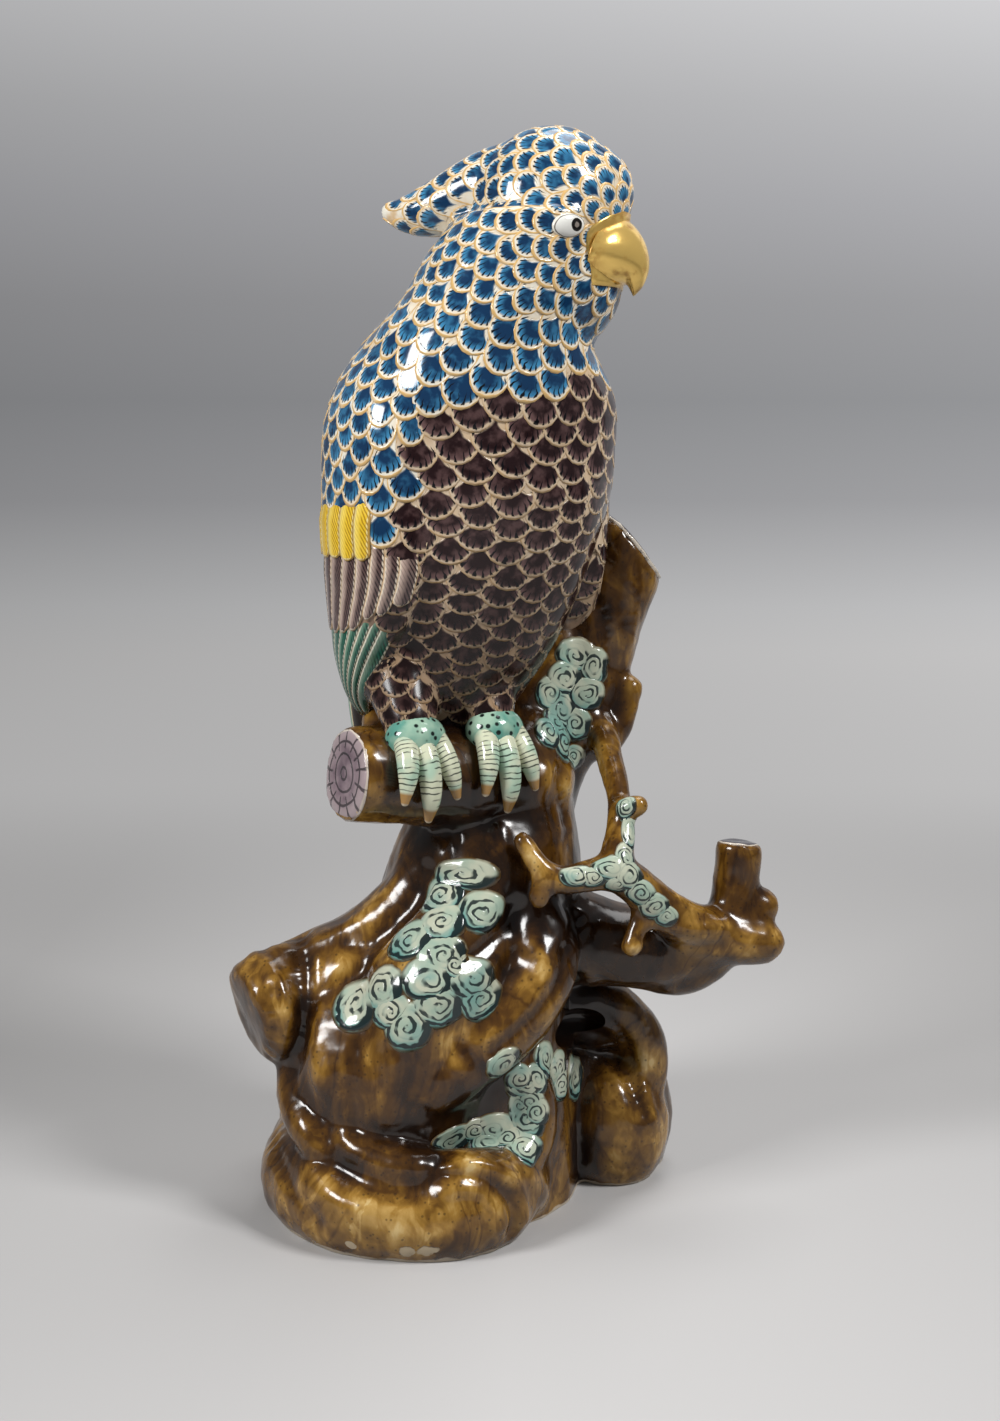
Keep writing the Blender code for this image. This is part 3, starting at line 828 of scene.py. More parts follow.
def buildToes():
    toes = []
    grip = stump["perch"] + 0.8 * bird["toe"] + 0.25
    spacing = 2.3 * bird["toe"]
    for hand in (-1, 1):
        for spread in (-1, 0, 1):
            toe = []
            for step in toeSteps:
                splay = spread * (0.5 + (toeSteps[0][0] - step[0]) / 105)
                a = radians(step[0])
                toe.append(perch + footSide(hand) + rightHand * splay * spacing
                           + ahead * grip * cos(a) + up * grip * sin(a))
            # The outer toes are a step shorter
            shape = [(*place, step[1]) for place, step in zip(toe, toeSteps[abs(spread):])]
            toes.append(loft("toe", ringsAlong(*limb(bird["toe"], shape, steps=5), 18)))
    return joinUp("toes", toes)


toesPiece = buildToes()


def buildCuffs():
    # Low turquoise mounds where the toes part
    mound = joinUp("legCuffs", [
        addEgg(perch + footSide(hand) + ahead * 10.4 + up * 15.6, (9.6, 8.0, 7.4), rightHand)
        for hand in (-1, 1)])
    pick(mound)
    bpy.ops.object.shade_smooth()
    return mound


cuffsPiece = buildCuffs()
print("beak, eyes and feet")


# Painted feathers

scales = {
    "headWide": 8.0, "headLong": 4.9, "neckWide": 11.0, "neckLong": 6.6,
    "breastWide": 12.6, "breastLong": 5.7, "bellyLong": 5.2, "wingWide": 8.6, "wingLong": 5.9,
    "faceWide": 6.0, "faceLong": 4.1, "raised": 0.42, "sunk": -0.05, "root": 0.95, "tip": 1.08,
    "packing": 0.91, "clearOfPupil": 5.6, "clearOfBeak": 1.2,
}
# Heights over the perch where blue begins, and where the scales end above the feet
zones = {"back": 72, "breast": 120, "wing": 75, "wingFront": 83, "wingBack": 84, "feet": 17}


def onWing(place):
    # The wing, share across it and height of a place on the bird, or nothing off the wings
    away = place - onBird(-3, -7.5, 0)
    height = away.z
    if not 19 < height < 139:
        return None
    right, forward = away.dot(rightHand), away.dot(ahead)
    hand = 1 if right > 0 else -1
    (wide, deep, lead, trail, off), rise, back = wingShape(hand, height)
    angle = degrees(atan2(forward / deep, right * hand / wide))
    share = (lead - back - angle) / (lead - back - trail)
    stand = sqrt((right / wide) ** 2 + (forward / deep) ** 2)
    if 0.0 < share < 1.0 and (stand > 1.0 + 0.35 * rise * off / 40 or height > 125):
        return hand, share, height
    return None


def zoneOf(place):
    height = place.z - perch.z
    wing = onWing(place)
    if wing:
        hand, share, height = wing
        if hand < 0 and share < 0.3:
            wing = None
    if wing:
        edge = min(zones["wingBack"], zones["wing"] + max(0, share - 0.14) * 110)
        return "blue" if height > (zones["wingFront"] if share < 0.06 else edge) else None
    flat = place - onBird(0, 0, height)
    forward, right = flat.dot(ahead), flat.dot(rightHand)
    if height < zones["feet"]:
        return None
    if forward < -12 and height < 88:
        for point in smoothPath(tailPath, 2):
            gap = sqrt((forward - point[0]) ** 2 + (right - point[1]) ** 2)
            if abs(height - point[2]) < 9 and gap < bird["tail"] * point[3] * 1.25:
                return None
    if (place - beakRoot - facing * 9).length < 9.5:
        return None
    turn = min(max((forward + 16) / 26, 0), 1)
    line = zones["back"] + (zones["breast"] - 0.13 * right - zones["back"]) * turn
    return "blue" if height > line else "aubergine"


def stepBetween(value, points):
    for (low, first), (high, second) in zip(points, points[1:]):
        if value <= high:
            t = max(0.0, (value - low) / (high - low))
            return first + (second - first) * t
    return points[-1][1]


def sizeOf(place, wing):
    height = place.z - perch.z
    if wing:
        wide, long = scales["wingWide"], scales["wingLong"]
        grow = 1 + 0.3 * max(0, 1 - abs(wing[1] - 0.05) / 0.15) * (wing[2] < 105)
        return wide * grow, long
    wide = stepBetween(height, [(24, 8.6), (44, 11.6), (60, scales["breastWide"]), (112, 12.4),
                                (126, scales["neckWide"]), (150, scales["headWide"])])
    long = stepBetween(height, [(24, 4.4), (44, 4.9), (60, scales["bellyLong"]),
                                (90, scales["breastLong"]), (122, scales["neckLong"]),
                                (150, scales["headLong"])])
    face = (place - beakRoot - up * 8 - facing * 4).length
    if face < 24 and height > 140:
        t = max(0.0, (face - 10) / 14)
        wide = scales["faceWide"] + (wide - scales["faceWide"]) * t
        long = scales["faceLong"] + (long - scales["faceLong"]) * t
    return wide, long


def seedScales():
    # From the beak outwards, a scale goes wherever the ones before it leave room
    points, ways = places(birdSkin), normals(birdSkin)
    source = beakRoot + up * 9 + facing * 6
    seeds = []
    for point, way in zip(points, ways):
        place = Vector(point) / mm - shift
        height = place.z - perch.z
        grip = stepBetween(height, [(98, 0.22), (140, 1.0)])
        away = place - source
        pull = Vector((away.x * grip ** 2, away.y * grip ** 2, away.z))
        far = sqrt(grip ** 2 * (away.x ** 2 + away.y ** 2) + away.z ** 2)
        seeds.append((far, place, Vector(way), pull / max(far, 1e-6)))
    seeds.sort(key=lambda seed: seed[0])
    kept, held = [], np.zeros((0, 3))
    for _, place, normal, pull in seeds:
        near = np.nonzero(((held - np.array(place)) ** 2).sum(axis=1) < 15 ** 2)[0]
        wing = onWing(place)
        wide, long = sizeOf(place, wing)
        flow = pull - normal * pull.dot(normal)
        if flow.length < 0.03:
            continue
        flow.normalize()
        across = flow.cross(normal)
        if len(near):
            gaps = held[near] - np.array(place)
            # Rows of scales lie 0.866 of their pitch apart
            x = gaps @ np.array(across) / (wide * scales["packing"])
            y = gaps @ np.array(flow) / (long / 0.866 * scales["packing"])
            z = gaps @ np.array(normal) / wide
            if (x ** 2 + y ** 2 + z ** 2).min() < 1:
                continue
        zone = zoneOf(place)
        if not zone:
            continue
        spot = world(place)
        if min((spot - pupil).length for pupil in pupils) < scales["clearOfPupil"] * mm:
            continue
        if beakTree.find_nearest(spot)[3] < scales["clearOfBeak"] * mm:
            continue
        kept.append((place, normal, flow, across, wide, long, zone))
        held = np.vstack([held, np.array(place)])
    return kept


def buildScales():
    sheets = {"blue": Patches(birdTree), "aubergine": Patches(birdTree)}
    root, tip, sunk = scales["root"], scales["tip"], scales["sunk"]
    for place, normal, flow, across, wide, long, zone in seedScales():
        wide *= random.uniform(1.04, 1.14)
        long *= random.uniform(0.96, 1.1)
        turn = radians(random.uniform(-8, 8))
        across, flow = across * cos(turn) + flow * sin(turn), flow * cos(turn) - across * sin(turn)
        rows = []
        for share in (0.0, 0.28, 0.52, 0.74, 0.92, 1.0):
            row = []
            for k in range(-4, 5):
                s = sin(k * pi / 8)
                t = -root + (sqrt(max(0.0, 1 - s * s)) * tip + root) * share
                lift = -sunk + (t + root) / (1 + root) * (scales["raised"] + sunk)
                if share == 1.0:
                    lift -= 0.08
                guess = place + across * s * wide / 2 + flow * t * long
                row.append((world(guess), (s, t), lift))
            rows.append(row)
        sheets[zone].lay(rows, wide, long, random.random())
    return sheets["blue"].piece("blueScales"), sheets["aubergine"].piece("aubergineScales")


blueScales, aubergineScales = buildScales()
print("scales", len(blueScales.data.polygons), len(aubergineScales.data.polygons), "faces")

# Long feathers: heights where a row starts and ends, its first share of the wing and its lifts
feathers = {
    "yellow": {"from": 86, "to": 69.5, "first": 0.17, "lift": (0.0, 1.0)},
    "aubergine": {"from": 74, "to": 47, "first": 0.0, "lift": (-0.2, 0.75)},
    "green": {"from": 52, "to": 19.5, "first": 0.0, "lift": (-0.2, 0.45)},
}
# Where one feather ends and the next begins, as shares of the wing
partings = [
    0.0, 0.05, 0.095, 0.145, 0.205, 0.28, 0.37, 0.47, 0.57, 0.66, 0.74, 0.81, 0.88, 0.94, 1.0]


def layStrip(sheet, strip):
    # Each step holds a place, a way across from left to right as it runs down, width and lift
    rows = []
    length = sum((b[0] - a[0]).length for a, b in zip(strip, strip[1:]))
    gone = 0.0
    for i, (place, side, wide, lift) in enumerate(strip):
        gone += (place - strip[i - 1][0]).length if i else 0
        rows.append([
            (world(place + side * s * wide / 2), (s, gone / length), lift + 0.15 * (1 - s * s))
            for s in (-1, -0.5, 0, 0.5, 1)])
    sheet.lay(rows, max(step[2] for step in strip), length, random.random(), edges="all")


def buildFeathers(kind):
    rules = feathers[kind]
    sheet = Patches(birdTree)
    for hand in (-1, 1):
        for before, after in zip(partings, partings[1:]):
            share = (before + after) / 2
            if share < rules["first"] or hand < 0 and share < 0.3:
                continue
            top, low = rules["from"], rules["to"] + random.uniform(-0.6, 0.6)
            if kind == "aubergine":
                low += max(0, 0.2 - share) * 50
                top -= max(0, 0.1 - share) * 30
            strip = []
            for i in range(15):
                t = i / 14
                height = top + (low - top) * t
                side = wingSpot(hand, share + 0.02, height) - wingSpot(hand, share - 0.02, height)
                pitch = side.length / 0.04 * (after - before)
                tip = sqrt(max(0.04, 1 - max(0, (t - 0.86) / 0.14) ** 2))
                first, last = rules["lift"]
                strip.append((wingSpot(hand, share, height), side.normalized() * -hand,
                              pitch * 1.04 * tip, first + (last - first) * min(1, t * 3)))
            layStrip(sheet, strip)
    if kind == "green":
        for k in range(-2, 3):
            turn = k * radians(32)
            strip = []
            for forward, right, height, share in smoothPath(tailPath, 4)[2:-1]:
                girth = bird["tail"] * share
                out = -ahead * cos(turn) + rightHand * sin(turn)
                side = (-ahead * -sin(turn) + rightHand * cos(turn)).normalized() * -1
                strip.append((onBird(forward, right, height) + out * girth, side,
                              girth * radians(32) * 1.04, 0.2))
            layStrip(sheet, strip)
    return sheet.piece(kind + "Feathers")


featherPieces = {kind: buildFeathers(kind) for kind in feathers}
print("wing feathers")


# Lichen and cut ends

lichen = {"lift": 0.62, "wider": 1.27, "higher": 1.3}
rosettes = [
    # Belly: across, down, half width and half height in the frame
    (464, 875, 30, 13), (442, 895, 22, 15), (483, 912, 23, 17), (441, 922, 22, 15),
    (410, 939, 24, 15), (442, 955, 24, 17), (427, 979, 24, 18), (473, 979, 24, 17),
    (383, 988, 22, 16), (357, 1005, 22, 19), (481, 999, 24, 15), (438, 1006, 24, 18),
    (407, 1027, 22, 20), (389, 1010, 20, 15), (455, 965, 14, 12),
    # Between the belly and the toe
    (505, 1064, 17, 14), (544, 1060, 15, 13), (573, 1077, 24, 15), (527, 1086, 17, 14),
    (527, 1119, 20, 16), (495, 1128, 20, 12), (452, 1140, 21, 12), (490, 1143, 18, 12),
    (525, 1149, 17, 12), (475, 1130, 16, 10), (530, 1102, 14, 12), (552, 1072, 13, 10),
    (520, 1078, 13, 12), (537, 1079, 13, 12), (559, 1066, 13, 11), (561, 1084, 14, 11),
    (519, 1106, 12, 12), (537, 1112, 12, 12), (508, 1138, 15, 11),
    # Broken trunk
    (576, 656, 18, 15), (595, 666, 15, 15), (565, 678, 17, 14), (587, 694, 17, 14),
    (551, 694, 14, 15), (562, 711, 17, 14), (575, 724, 15, 14), (549, 732, 14, 12),
    (565, 742, 16, 13), (573, 757, 13, 10), (556, 722, 14, 12),
    # Forked branch
    (577, 876, 15, 11), (594, 877, 13, 10), (610, 868, 16, 11), (626, 858, 11, 13),
    (630, 832, 9, 13), (626, 806, 9, 12), (628, 876, 15, 14), (641, 893, 14, 13),
    (655, 906, 15, 12), (667, 916, 11, 9), (617, 884, 11, 9),
]


def discRows(centre, across, down, wide, high, lift, cells=8, rimDrop=0.3, power=6):
    rows = []
    for i in range(cells + 1):
        row = []
        for k in range(cells + 1):
            a, b = -1 + 2 * k / cells, -1 + 2 * i / cells
            x, y = a * sqrt(1 - b * b / 2), b * sqrt(1 - a * a / 2)
            far = sqrt(x * x + y * y)
            height = lift * (1 - rimDrop * far ** power)
            row.append((centre + across * x * wide + down * y * high, (x, y), height))
        rows.append(row)
    return rows


def buildLichen():
    sheet = Patches(stumpTree)
    for u, v, wide, high in rosettes:
        centre, normal = seen(u, v, stumpTree)
        if centre is None:
            print("no stump under rosette", u, v)
            continue
        away = (centre - Vector(view["place"])).length / view["focal"]
        wide, high = wide * away, high * away
        across = (Vector((1, 0, 0)) - normal * normal.x).normalized()
        down = normal.cross(across)
        if down.z > 0:
            down = -down
        if across.cross(down).dot(normal) < 0:
            across = -across
        spread = min(1.5, 1 / max(0.5, abs(normal.y)))
        rows = discRows(centre, across, down, wide * lichen["wider"],
                        high * lichen["higher"] * spread ** 0.5,
                        lichen["lift"] * random.uniform(0.75, 1.25), rimDrop=0.8, power=2)
        sheet.lay(rows, wide / mm, high / mm, random.random(), edges="all")
    return sheet.piece("lichen")


lichenPiece = buildLichen()


def buildEnd(name, centre, way, radius, high=None, lift=0.35):
    sheet = Patches(stumpTree)
    way = way.normalized()
    across = up.cross(way).normalized() if abs(way.z) < 0.9 else Vector((1, 0, 0))
    down = way.cross(across)
    rows = discRows(world(centre), across, down, radius * mm, (high or radius) * mm, lift, cells=14)
    sheet.lay(rows, radius, high or radius, 0.5, edges="all")
    return sheet.piece(name)


perchEnd = buildEnd("perchEnd", perch + rightHand * stump["arm"] + up * 4.76, rightHand, 14.3)
snagEnd = buildEnd("snagEnd", Vector((43, 25, 212)), Vector(stump["snagSlope"]), 12.9, 15.0, 1.3)
stubEnd = buildEnd("stubEnd", Vector((77, -4, 118)), Vector((1, 1, 14)), 6.5, lift=0.3)
print("lichen and cut ends")


# Glazes and enamels

cream, ochre, black = (0.84, 0.80, 0.69), (0.72, 0.46, 0.18), (0.005, 0.005, 0.007)


def scaleFinish(name, deep, thin, line, ground, border, lowShadeHeights=(0.1, 0.05), shine=0.5):
    wire = newFinish(name)
    s, t = wire.drawn()
    wobble = wire.noise(330, 1.5) - 0.5
    s = s + wobble * 0.22
    t = t + (wire.noise(300, 1.5, wire.elsewhere()) - 0.5) * 0.2
    wide, long, tone = wire.number("wide"), wire.number("long"), wire.number("tone")
    size = (wide * 0.5 + long) * 0.5
    low = t.most(0)
    edge = (1.06 - (s * s + low * low).root()) * size
    aside = 1 - abs(s)
    near = ((aside * aside + (t + 1) * (t + 1)).root() - 0.96) * size
    # Low on the bird the scales are painted darker: painted shade where the belly turns under toward
    # the perch; the same mask widens the fill and roughens them
    lowShade = wire.place()[2].rise(*lowShadeHeights)
    inner = edge - border + lowShade * 0.25
    margin = inner.least(near - 0.15 + lowShade * 0.2)
    fill = margin.rise(0, 0.2)
    pool = inner * 0.8 + wobble * 2.4 + (tone - 0.4) * 1.3
    enamel = pool.rise(0, 1.9).blend(thin, deep)
    enamel = (wire.noise(260, 3).rise(0.45, 0.72) * 0.55).blend(enamel, thin)
    halo = [c * 0.45 + g * 0.55 for c, g in zip(thin, ground)]
    enamel = (margin.rise(0.6, 0.05) * 0.75).blend(enamel, halo)
    # Hairs of black that run in from the edge like a comb
    comb = (s.angle(t + 1.15) * 5.8 + tone * 3 + wobble * 0.6).stripes()
    reach = size * (0.3 + wire.noise(450, 1) * 0.6)
    hair = ((1 - (inner + 0.3) / reach) * 0.5 - comb).rise(0, 0.14)
    hair = hair * inner.rise(-0.35, -0.15) * near.rise(-0.8, -0.2)
    outline = inner.rise(-0.6, -0.85) * (wire.noise(240).rise(0.2, 0.45) * 0.5 + 0.5)
    between = [c * 0.5 + l * 0.5 for c, l in zip(ground, line)]
    paint = outline.blend(wire.noise(160, 3).rise(0.33, 0.68).blend(ground, between), line)
    paint = hair.blend(fill.blend(paint, enamel), black)
    # Painted shade: the scales low on the belly are multiplied darker
    paint = lowShade.blend(paint, [0.5, 0.45, 0.42], "MULTIPLY")
    return closeFinish(wire, paint, 0.09 + lowShade * 0.1, height=fill * 0.8 + outline * 0.5,
                       depth=0.12, shine=shine)


dress(scaleFinish("cobaltEnamel", (0.005, 0.034, 0.094), (0.050, 0.24, 0.44), ochre, cream, 1.5),
      blueScales)
dress(scaleFinish("aubergineEnamel", (0.019, 0.0085, 0.0095), (0.15, 0.085, 0.082),
                  (0.60, 0.40, 0.21), (0.68, 0.54, 0.39), 1.22, (0.225, 0.175), 0.3),
      aubergineScales)


# Each row of feathers: its finish, then full paint, thin paint, outline, ground and strokes
featherPaints = {
    "yellow": ("yellowEnamel", (0.80, 0.53, 0.03), (0.96, 0.76, 0.18), (0.60, 0.36, 0.08),
               (0.86, 0.72, 0.32), (0.40, 0.21, 0.01)),
    "aubergine": ("aubergineFlights", (0.105, 0.062, 0.058), (0.64, 0.48, 0.40),
                  (0.62, 0.42, 0.24), (0.80, 0.68, 0.54), (0.014, 0.008, 0.009)),
    "green": ("greenEnamel", (0.010, 0.115, 0.072), (0.26, 0.38, 0.28), (0.50, 0.42, 0.28),
              (0.70, 0.68, 0.56), (0.004, 0.03, 0.022)),
}


def featherFinish(name, deep, thin, line, ground, stroke):
    wire = newFinish(name)
    s, t = wire.drawn()
    wide, long, tone = wire.number("wide"), wire.number("long"), wire.number("tone")
    s = s + (wire.noise(300, 1.5) - 0.5) * 0.25
    edge = ((1 - abs(s)) * wide * 0.5).least((1 - t) * long)
    fill = edge.rise(0.7, 0.9)
    outline = edge.rise(0.34, 0.2)
    fade = s.rise(-0.95, 0.25) * (0.55 + wire.noise(160, 3) * 0.9)
    slant = ((t * long - s * wide * 0.75) / 1.8 + tone).stripes()
    barb = slant.rise(0.55, 0.3) * s.rise(-0.25, 0.2) * edge.rise(0.1, 0.35)
    barb = barb.most(slant.rise(0.45, 0.2) * s.rise(0, -0.4) * edge.rise(0.3, 0.5) * 0.35)
    paint = fill.blend(outline.blend(ground, line), fade.blend(thin, deep))
    paint = (barb * 0.9).blend(paint, stroke)
    return closeFinish(wire, paint, height=fill * 0.7 + outline * 0.4)


for kind, paints in featherPaints.items():
    dress(featherFinish(*paints), featherPieces[kind])


def skinFinish():
    wire = newFinish("birdGround")
    z = wire.place()[2]
    warm = wire.noise(140, 3).rise(0.4, 0.65)
    pale = warm.blend(cream, (0.66, 0.47, 0.27))
    # Low on the belly the ground is painted duller and darker: painted shade where the belly turns
    # under toward the perch
    lowShadedGround = warm.blend((0.30, 0.2, 0.13), (0.12, 0.08, 0.06))
    paint = (z + (wire.noise(60) - 0.5) * 0.012).rise(0.20, 0.225).blend(lowShadedGround, pale)
    # Lower still, round the tops of the legs, the skin is painted near-black: painted shade in the
    # recess between the belly, the legs and the perch
    paint = z.rise(0.176, 0.168).blend(paint, (0.02, 0.014, 0.012))
    return closeFinish(wire, paint, 0.12, height=wire.noise(260), depth=0.12)


dress(skinFinish(), birdSkin)


def stumpFinish():
    wire = newFinish("treacleGlaze")
    z = wire.place()[2]
    # Noise on coordinates drawn out downwards, as the glaze ran
    runny = wire.node("ShaderNodeMapping", {"Vector": wire.coords(), "Scale": (1, 1, 0.5)})
    runs = abs(wire.noise(30, 3, runny, 2.2) - 0.5).rise(0.045, 0)
    flakes = wire.noise(62, 3, runny, 2.6).rise(0.60, 0.66)
    depth = 0.40 - wire.number("hollow") * 0.22
    for noise, weight in ((wire.noise(40, 5, runny, 1.4), 0.9), (wire.noise(135, 5, runny, 1.8), 0.6),
                          (wire.noise(85, 4, None, 1), 0.55), (wire.noise(15), 0.45)):
        depth = depth + (noise - 0.5) * weight
    # The listed tints lighten and darken the glaze; their darkening under the bird's belly and behind
    # its legs is painted shade
    depth = depth - runs * 0.13 + flakes * 0.11 + wire.number("warmth")
    paint = depth.ramp([
        (0, (0.011, 0.0045, 0.002)), (0.25, (0.033, 0.013, 0.003)), (0.45, (0.078, 0.033, 0.005)),
        (0.62, (0.165, 0.079, 0.011)), (0.78, (0.30, 0.16, 0.028)), (0.92, (0.47, 0.29, 0.085)),
        (1, (0.58, 0.41, 0.17))])
    paint = (wire.dots(420).rise(0.22, 0.12) * 0.55).blend(paint, (0.02, 0.01, 0.005))
    foot = (z + (wire.noise(90, 3) - 0.5) * 0.006).rise(0.0014, 0.0006)
    chipped = wire.number("chips") * z.rise(0.009, 0.004) * (wire.noise(150, 4) * 3 - 0.5)
    chipped = chipped.rise(0.42, 0.55) * 0.85
    bare = wire.number("bare")
    paint = layered(paint, (foot, (0.50, 0.42, 0.32)), (chipped, (0.52, 0.43, 0.30)),
                    (bare, (0.52, 0.46, 0.38)))
    return closeFinish(wire, paint, 0.17 + foot.most(chipped) * 0.4 + bare * 0.5,
                       height=wire.noise(90, 2, runny, 1) - chipped * 1.2, depth=0.2)


stumpTints = [
    # Place in the figure or point of the photograph's frame, radius, how much paler the glaze is
    # painted, darker below 0; the darkening under the bird's belly and behind its legs is painted
    # shade
    ((84, -8, 87), 9, 0.16), ((5, 0, 160), 16, -0.2),
    ((-24, 4, 160), 22, -0.6), ((-8, -2, 152), 14, -0.5), ((24, -8, 84), 14, -0.3),
    ((26, -4, 54), 12, -0.5), ((77, -5, 104), 9, 0.05),
    ((350, 1215), 15, 0.24), ((402, 1228), 14, 0.26), ((472, 1200), 11, 0.34), ((300, 1210), 9, 0.1),
    ((400, 790), 9, -0.3), ((470, 795), 9, -0.3), ((530, 780), 8, -0.25), ((375, 770), 7, -0.1),
    ((450, 730), 8, -0.5), ((360, 735), 6, -0.2), ((560, 700), 10, -0.2), ((620, 720), 8, -0.15),
    ((264, 1196), 5, 0.5), ((342, 966), 6, 0.3), ((392, 950), 9, 0.26), ((450, 1042), 7, 0.35),
    ((372, 1060), 8, 0.2), ((312, 1064), 7, 0.22), ((540, 968), 9, 0.3), ((470, 1166), 5, 0.4),
    ((645, 1060), 8, 0.34), ((662, 1124), 8, 0.16), ((616, 1150), 8, 0.12), ((284, 1010), 3, 0.3),
    ((540, 872), 6, 0.4), ((530, 850), 5, 0.4), ((360, 934), 9, 0.04), ((386, 890), 6, 0.1),
    ((745, 945), 8, 0.25), ((680, 920), 8, 0.1), ((630, 950), 5, 0.25), ((585, 802), 5, 0.2),
    ((650, 590), 6, 0.22), ((628, 640), 7, 0.1),
    ((300, 950), 7, -0.3), ((308, 1010), 5, -0.35), ((425, 1158), 9, -0.4), ((348, 1160), 6, -0.35),
    ((470, 1102), 10, -0.45), ((505, 1088), 8, -0.4), ((385, 1132), 11, -0.2), ((520, 900), 11, -0.4),
    ((566, 925), 12, -0.4), ((588, 1004), 12, -0.25), ((575, 1030), 9, -0.5), ((580, 1150), 8, -0.5),
    ((606, 915), 11, -0.4), ((640, 972), 12, -0.3), ((440, 842), 14, -0.25), ((520, 826), 14, -0.3),
    ((455, 800), 14, -0.15), ((332, 1104), 8, -0.12), ((600, 560), 9, -0.25), ((598, 620), 10, -0.2),
    ((568, 788), 7, 0.3), ((546, 772), 6, 0.2), ((368, 752), 4, 0.3), ((373, 786), 4, 0.25),
    ((500, 775), 4, 0.15), ((436, 775), 4, 0.12), ((300, 1182), 8, 0.16), ((400, 1200), 11, 0.06),
    ((252, 1010), 8, -0.05), ((690, 1110), 5, 0.15), ((420, 930), 6, 0.2),
]
# Chips in the glaze along the foot: point of the photograph's frame and radius
chips = [(386, 1243, 3.5), (404, 1248, 4), (428, 1245, 4.5), (450, 1238, 3.5), (262, 1204, 2.5),
         (350, 1244, 2), (560, 1172, 2)]


def tintStump():
    points = places(stumpPiece)
    near, broad = hollowness(stumpPiece, 16), hollowness(stumpPiece, 110)
    keepNumbers(stumpPiece, "hollow", np.clip(near / 1.4 + broad / 4.5, -0.9, 1.0))
    warmth, loss = np.zeros(len(points)), np.zeros(len(points))
    for place, radius, tint in stumpTints:
        spot = world(Vector(place)) if len(place) == 3 else seen(*place, stumpTree)[0]
        if spot is not None:
            warmth += tint * np.exp(-(distances(points, spot) / mm / radius) ** 2 * 1.3)
    for u, v, radius in chips:
        spot = seen(u, v, stumpTree)[0]
        if spot is not None:
            loss = np.maximum(loss, np.exp(-(distances(points, spot) / mm / radius) ** 2))
    keepNumbers(stumpPiece, "warmth", warmth)
    keepNumbers(stumpPiece, "chips", loss)
    # Bare clay inside the hollow
    girth = np.linalg.norm(points[:, :2] - np.array(world(Vector((-13, 2, 0))))[:2], axis=1)
    height = points[:, 2] / mm / perch.z
    room = np.interp(height, [0.0, 0.22, 0.42, 0.6, 0.74, 0.82], [31.3, 29.75, 25.1, 21.4, 12.7, 3])
    keepNumbers(stumpPiece, "bare", (girth / mm < room + 0.6) & (height < 0.83))


tintStump()
dress(stumpFinish(), stumpPiece)


def beakFinish():
    wire = newFinish("goldLeaf")
    along, z = wire.drawn()[1], wire.place()[2]
    worn = wire.noise(260, 4).rise(0.5, 0.72)
    worn = worn.most(wire.noise(420, 3).rise(0.42, 0.6) * along.rise(0.3, 0))
    # The gold is painted darker towards the bottom: painted shade where the beak and its base turn
    # under
    low = (z + (wire.noise(200) - 0.5) * 0.006).rise(0.2925, 0.2865)
    paint = layered((1, 0.67, 0.19), (worn, (0.50, 0.28, 0.06)), (low * 0.6, (0.22, 0.12, 0.03)))
    return closeFinish(wire, paint, 0.17 + worn * 0.15, 0.62 - worn * 0.2,
                       height=wire.noise(500, 3), depth=0.05)


dress(beakFinish(), beakPiece, beakBase)


def eyeFinish():
    wire = newFinish("eyeEnamel")
    gap = wire.number("fromPupil") + (wire.noise(700) - 0.5) * 0.35
    rim = wire.number("fromMiddle") + (wire.noise(500) - 0.5) * 0.1
    paint = layered((0.82, 0.81, 0.76), (rim.rise(0.85, 0.89), (0.07, 0.05, 0.04)),
                    (rim.rise(0.90, 0.94), cream), (gap.rise(2, 1.85), (0.010, 0.008, 0.007)),
                    (gap.rise(0.95, 0.8), (0.26, 0.22, 0.19)))
    return closeFinish(wire, paint, 0.07)


dress(eyeFinish(), eyesPiece)


def toeFinish():
    wire = newFinish("toeEnamel")
    along = wire.drawn()[1]
    mint = wire.noise(120).rise(0.4, 0.65).blend((0.62, 0.64, 0.47), (0.40, 0.55, 0.42))
    band = (along * 25 + (wire.noise(260) - 0.5) * 0.9).stripes()
    strokes = band.rise(0.32, 0.15) * along.rise(0.80, 0.77) * wire.noise(190, 1).rise(0.36, 0.5)
    paint = layered(mint, (along.rise(0.79, 0.82), (0.36, 0.20, 0.06)),
                    (along.rise(0.90, 0.96), (0.72, 0.63, 0.48)),
                    (strokes * 0.9, (0.012, 0.02, 0.015)))
    return closeFinish(wire, paint, height=wire.noise(300), depth=0.08)


dress(toeFinish(), toesPiece)


def cuffFinish():
    wire = newFinish("cuffEnamel")
    sea = wire.noise(110, 3).rise(0.35, 0.65).blend((0.10, 0.30, 0.24), (0.34, 0.50, 0.38))
    paint = wire.dots(360, 0.6).rise(0.34, 0.22).blend(sea, (0.008, 0.016, 0.014))
    return closeFinish(wire, paint, height=wire.noise(200), depth=0.15)


dress(cuffFinish(), cuffsPiece)


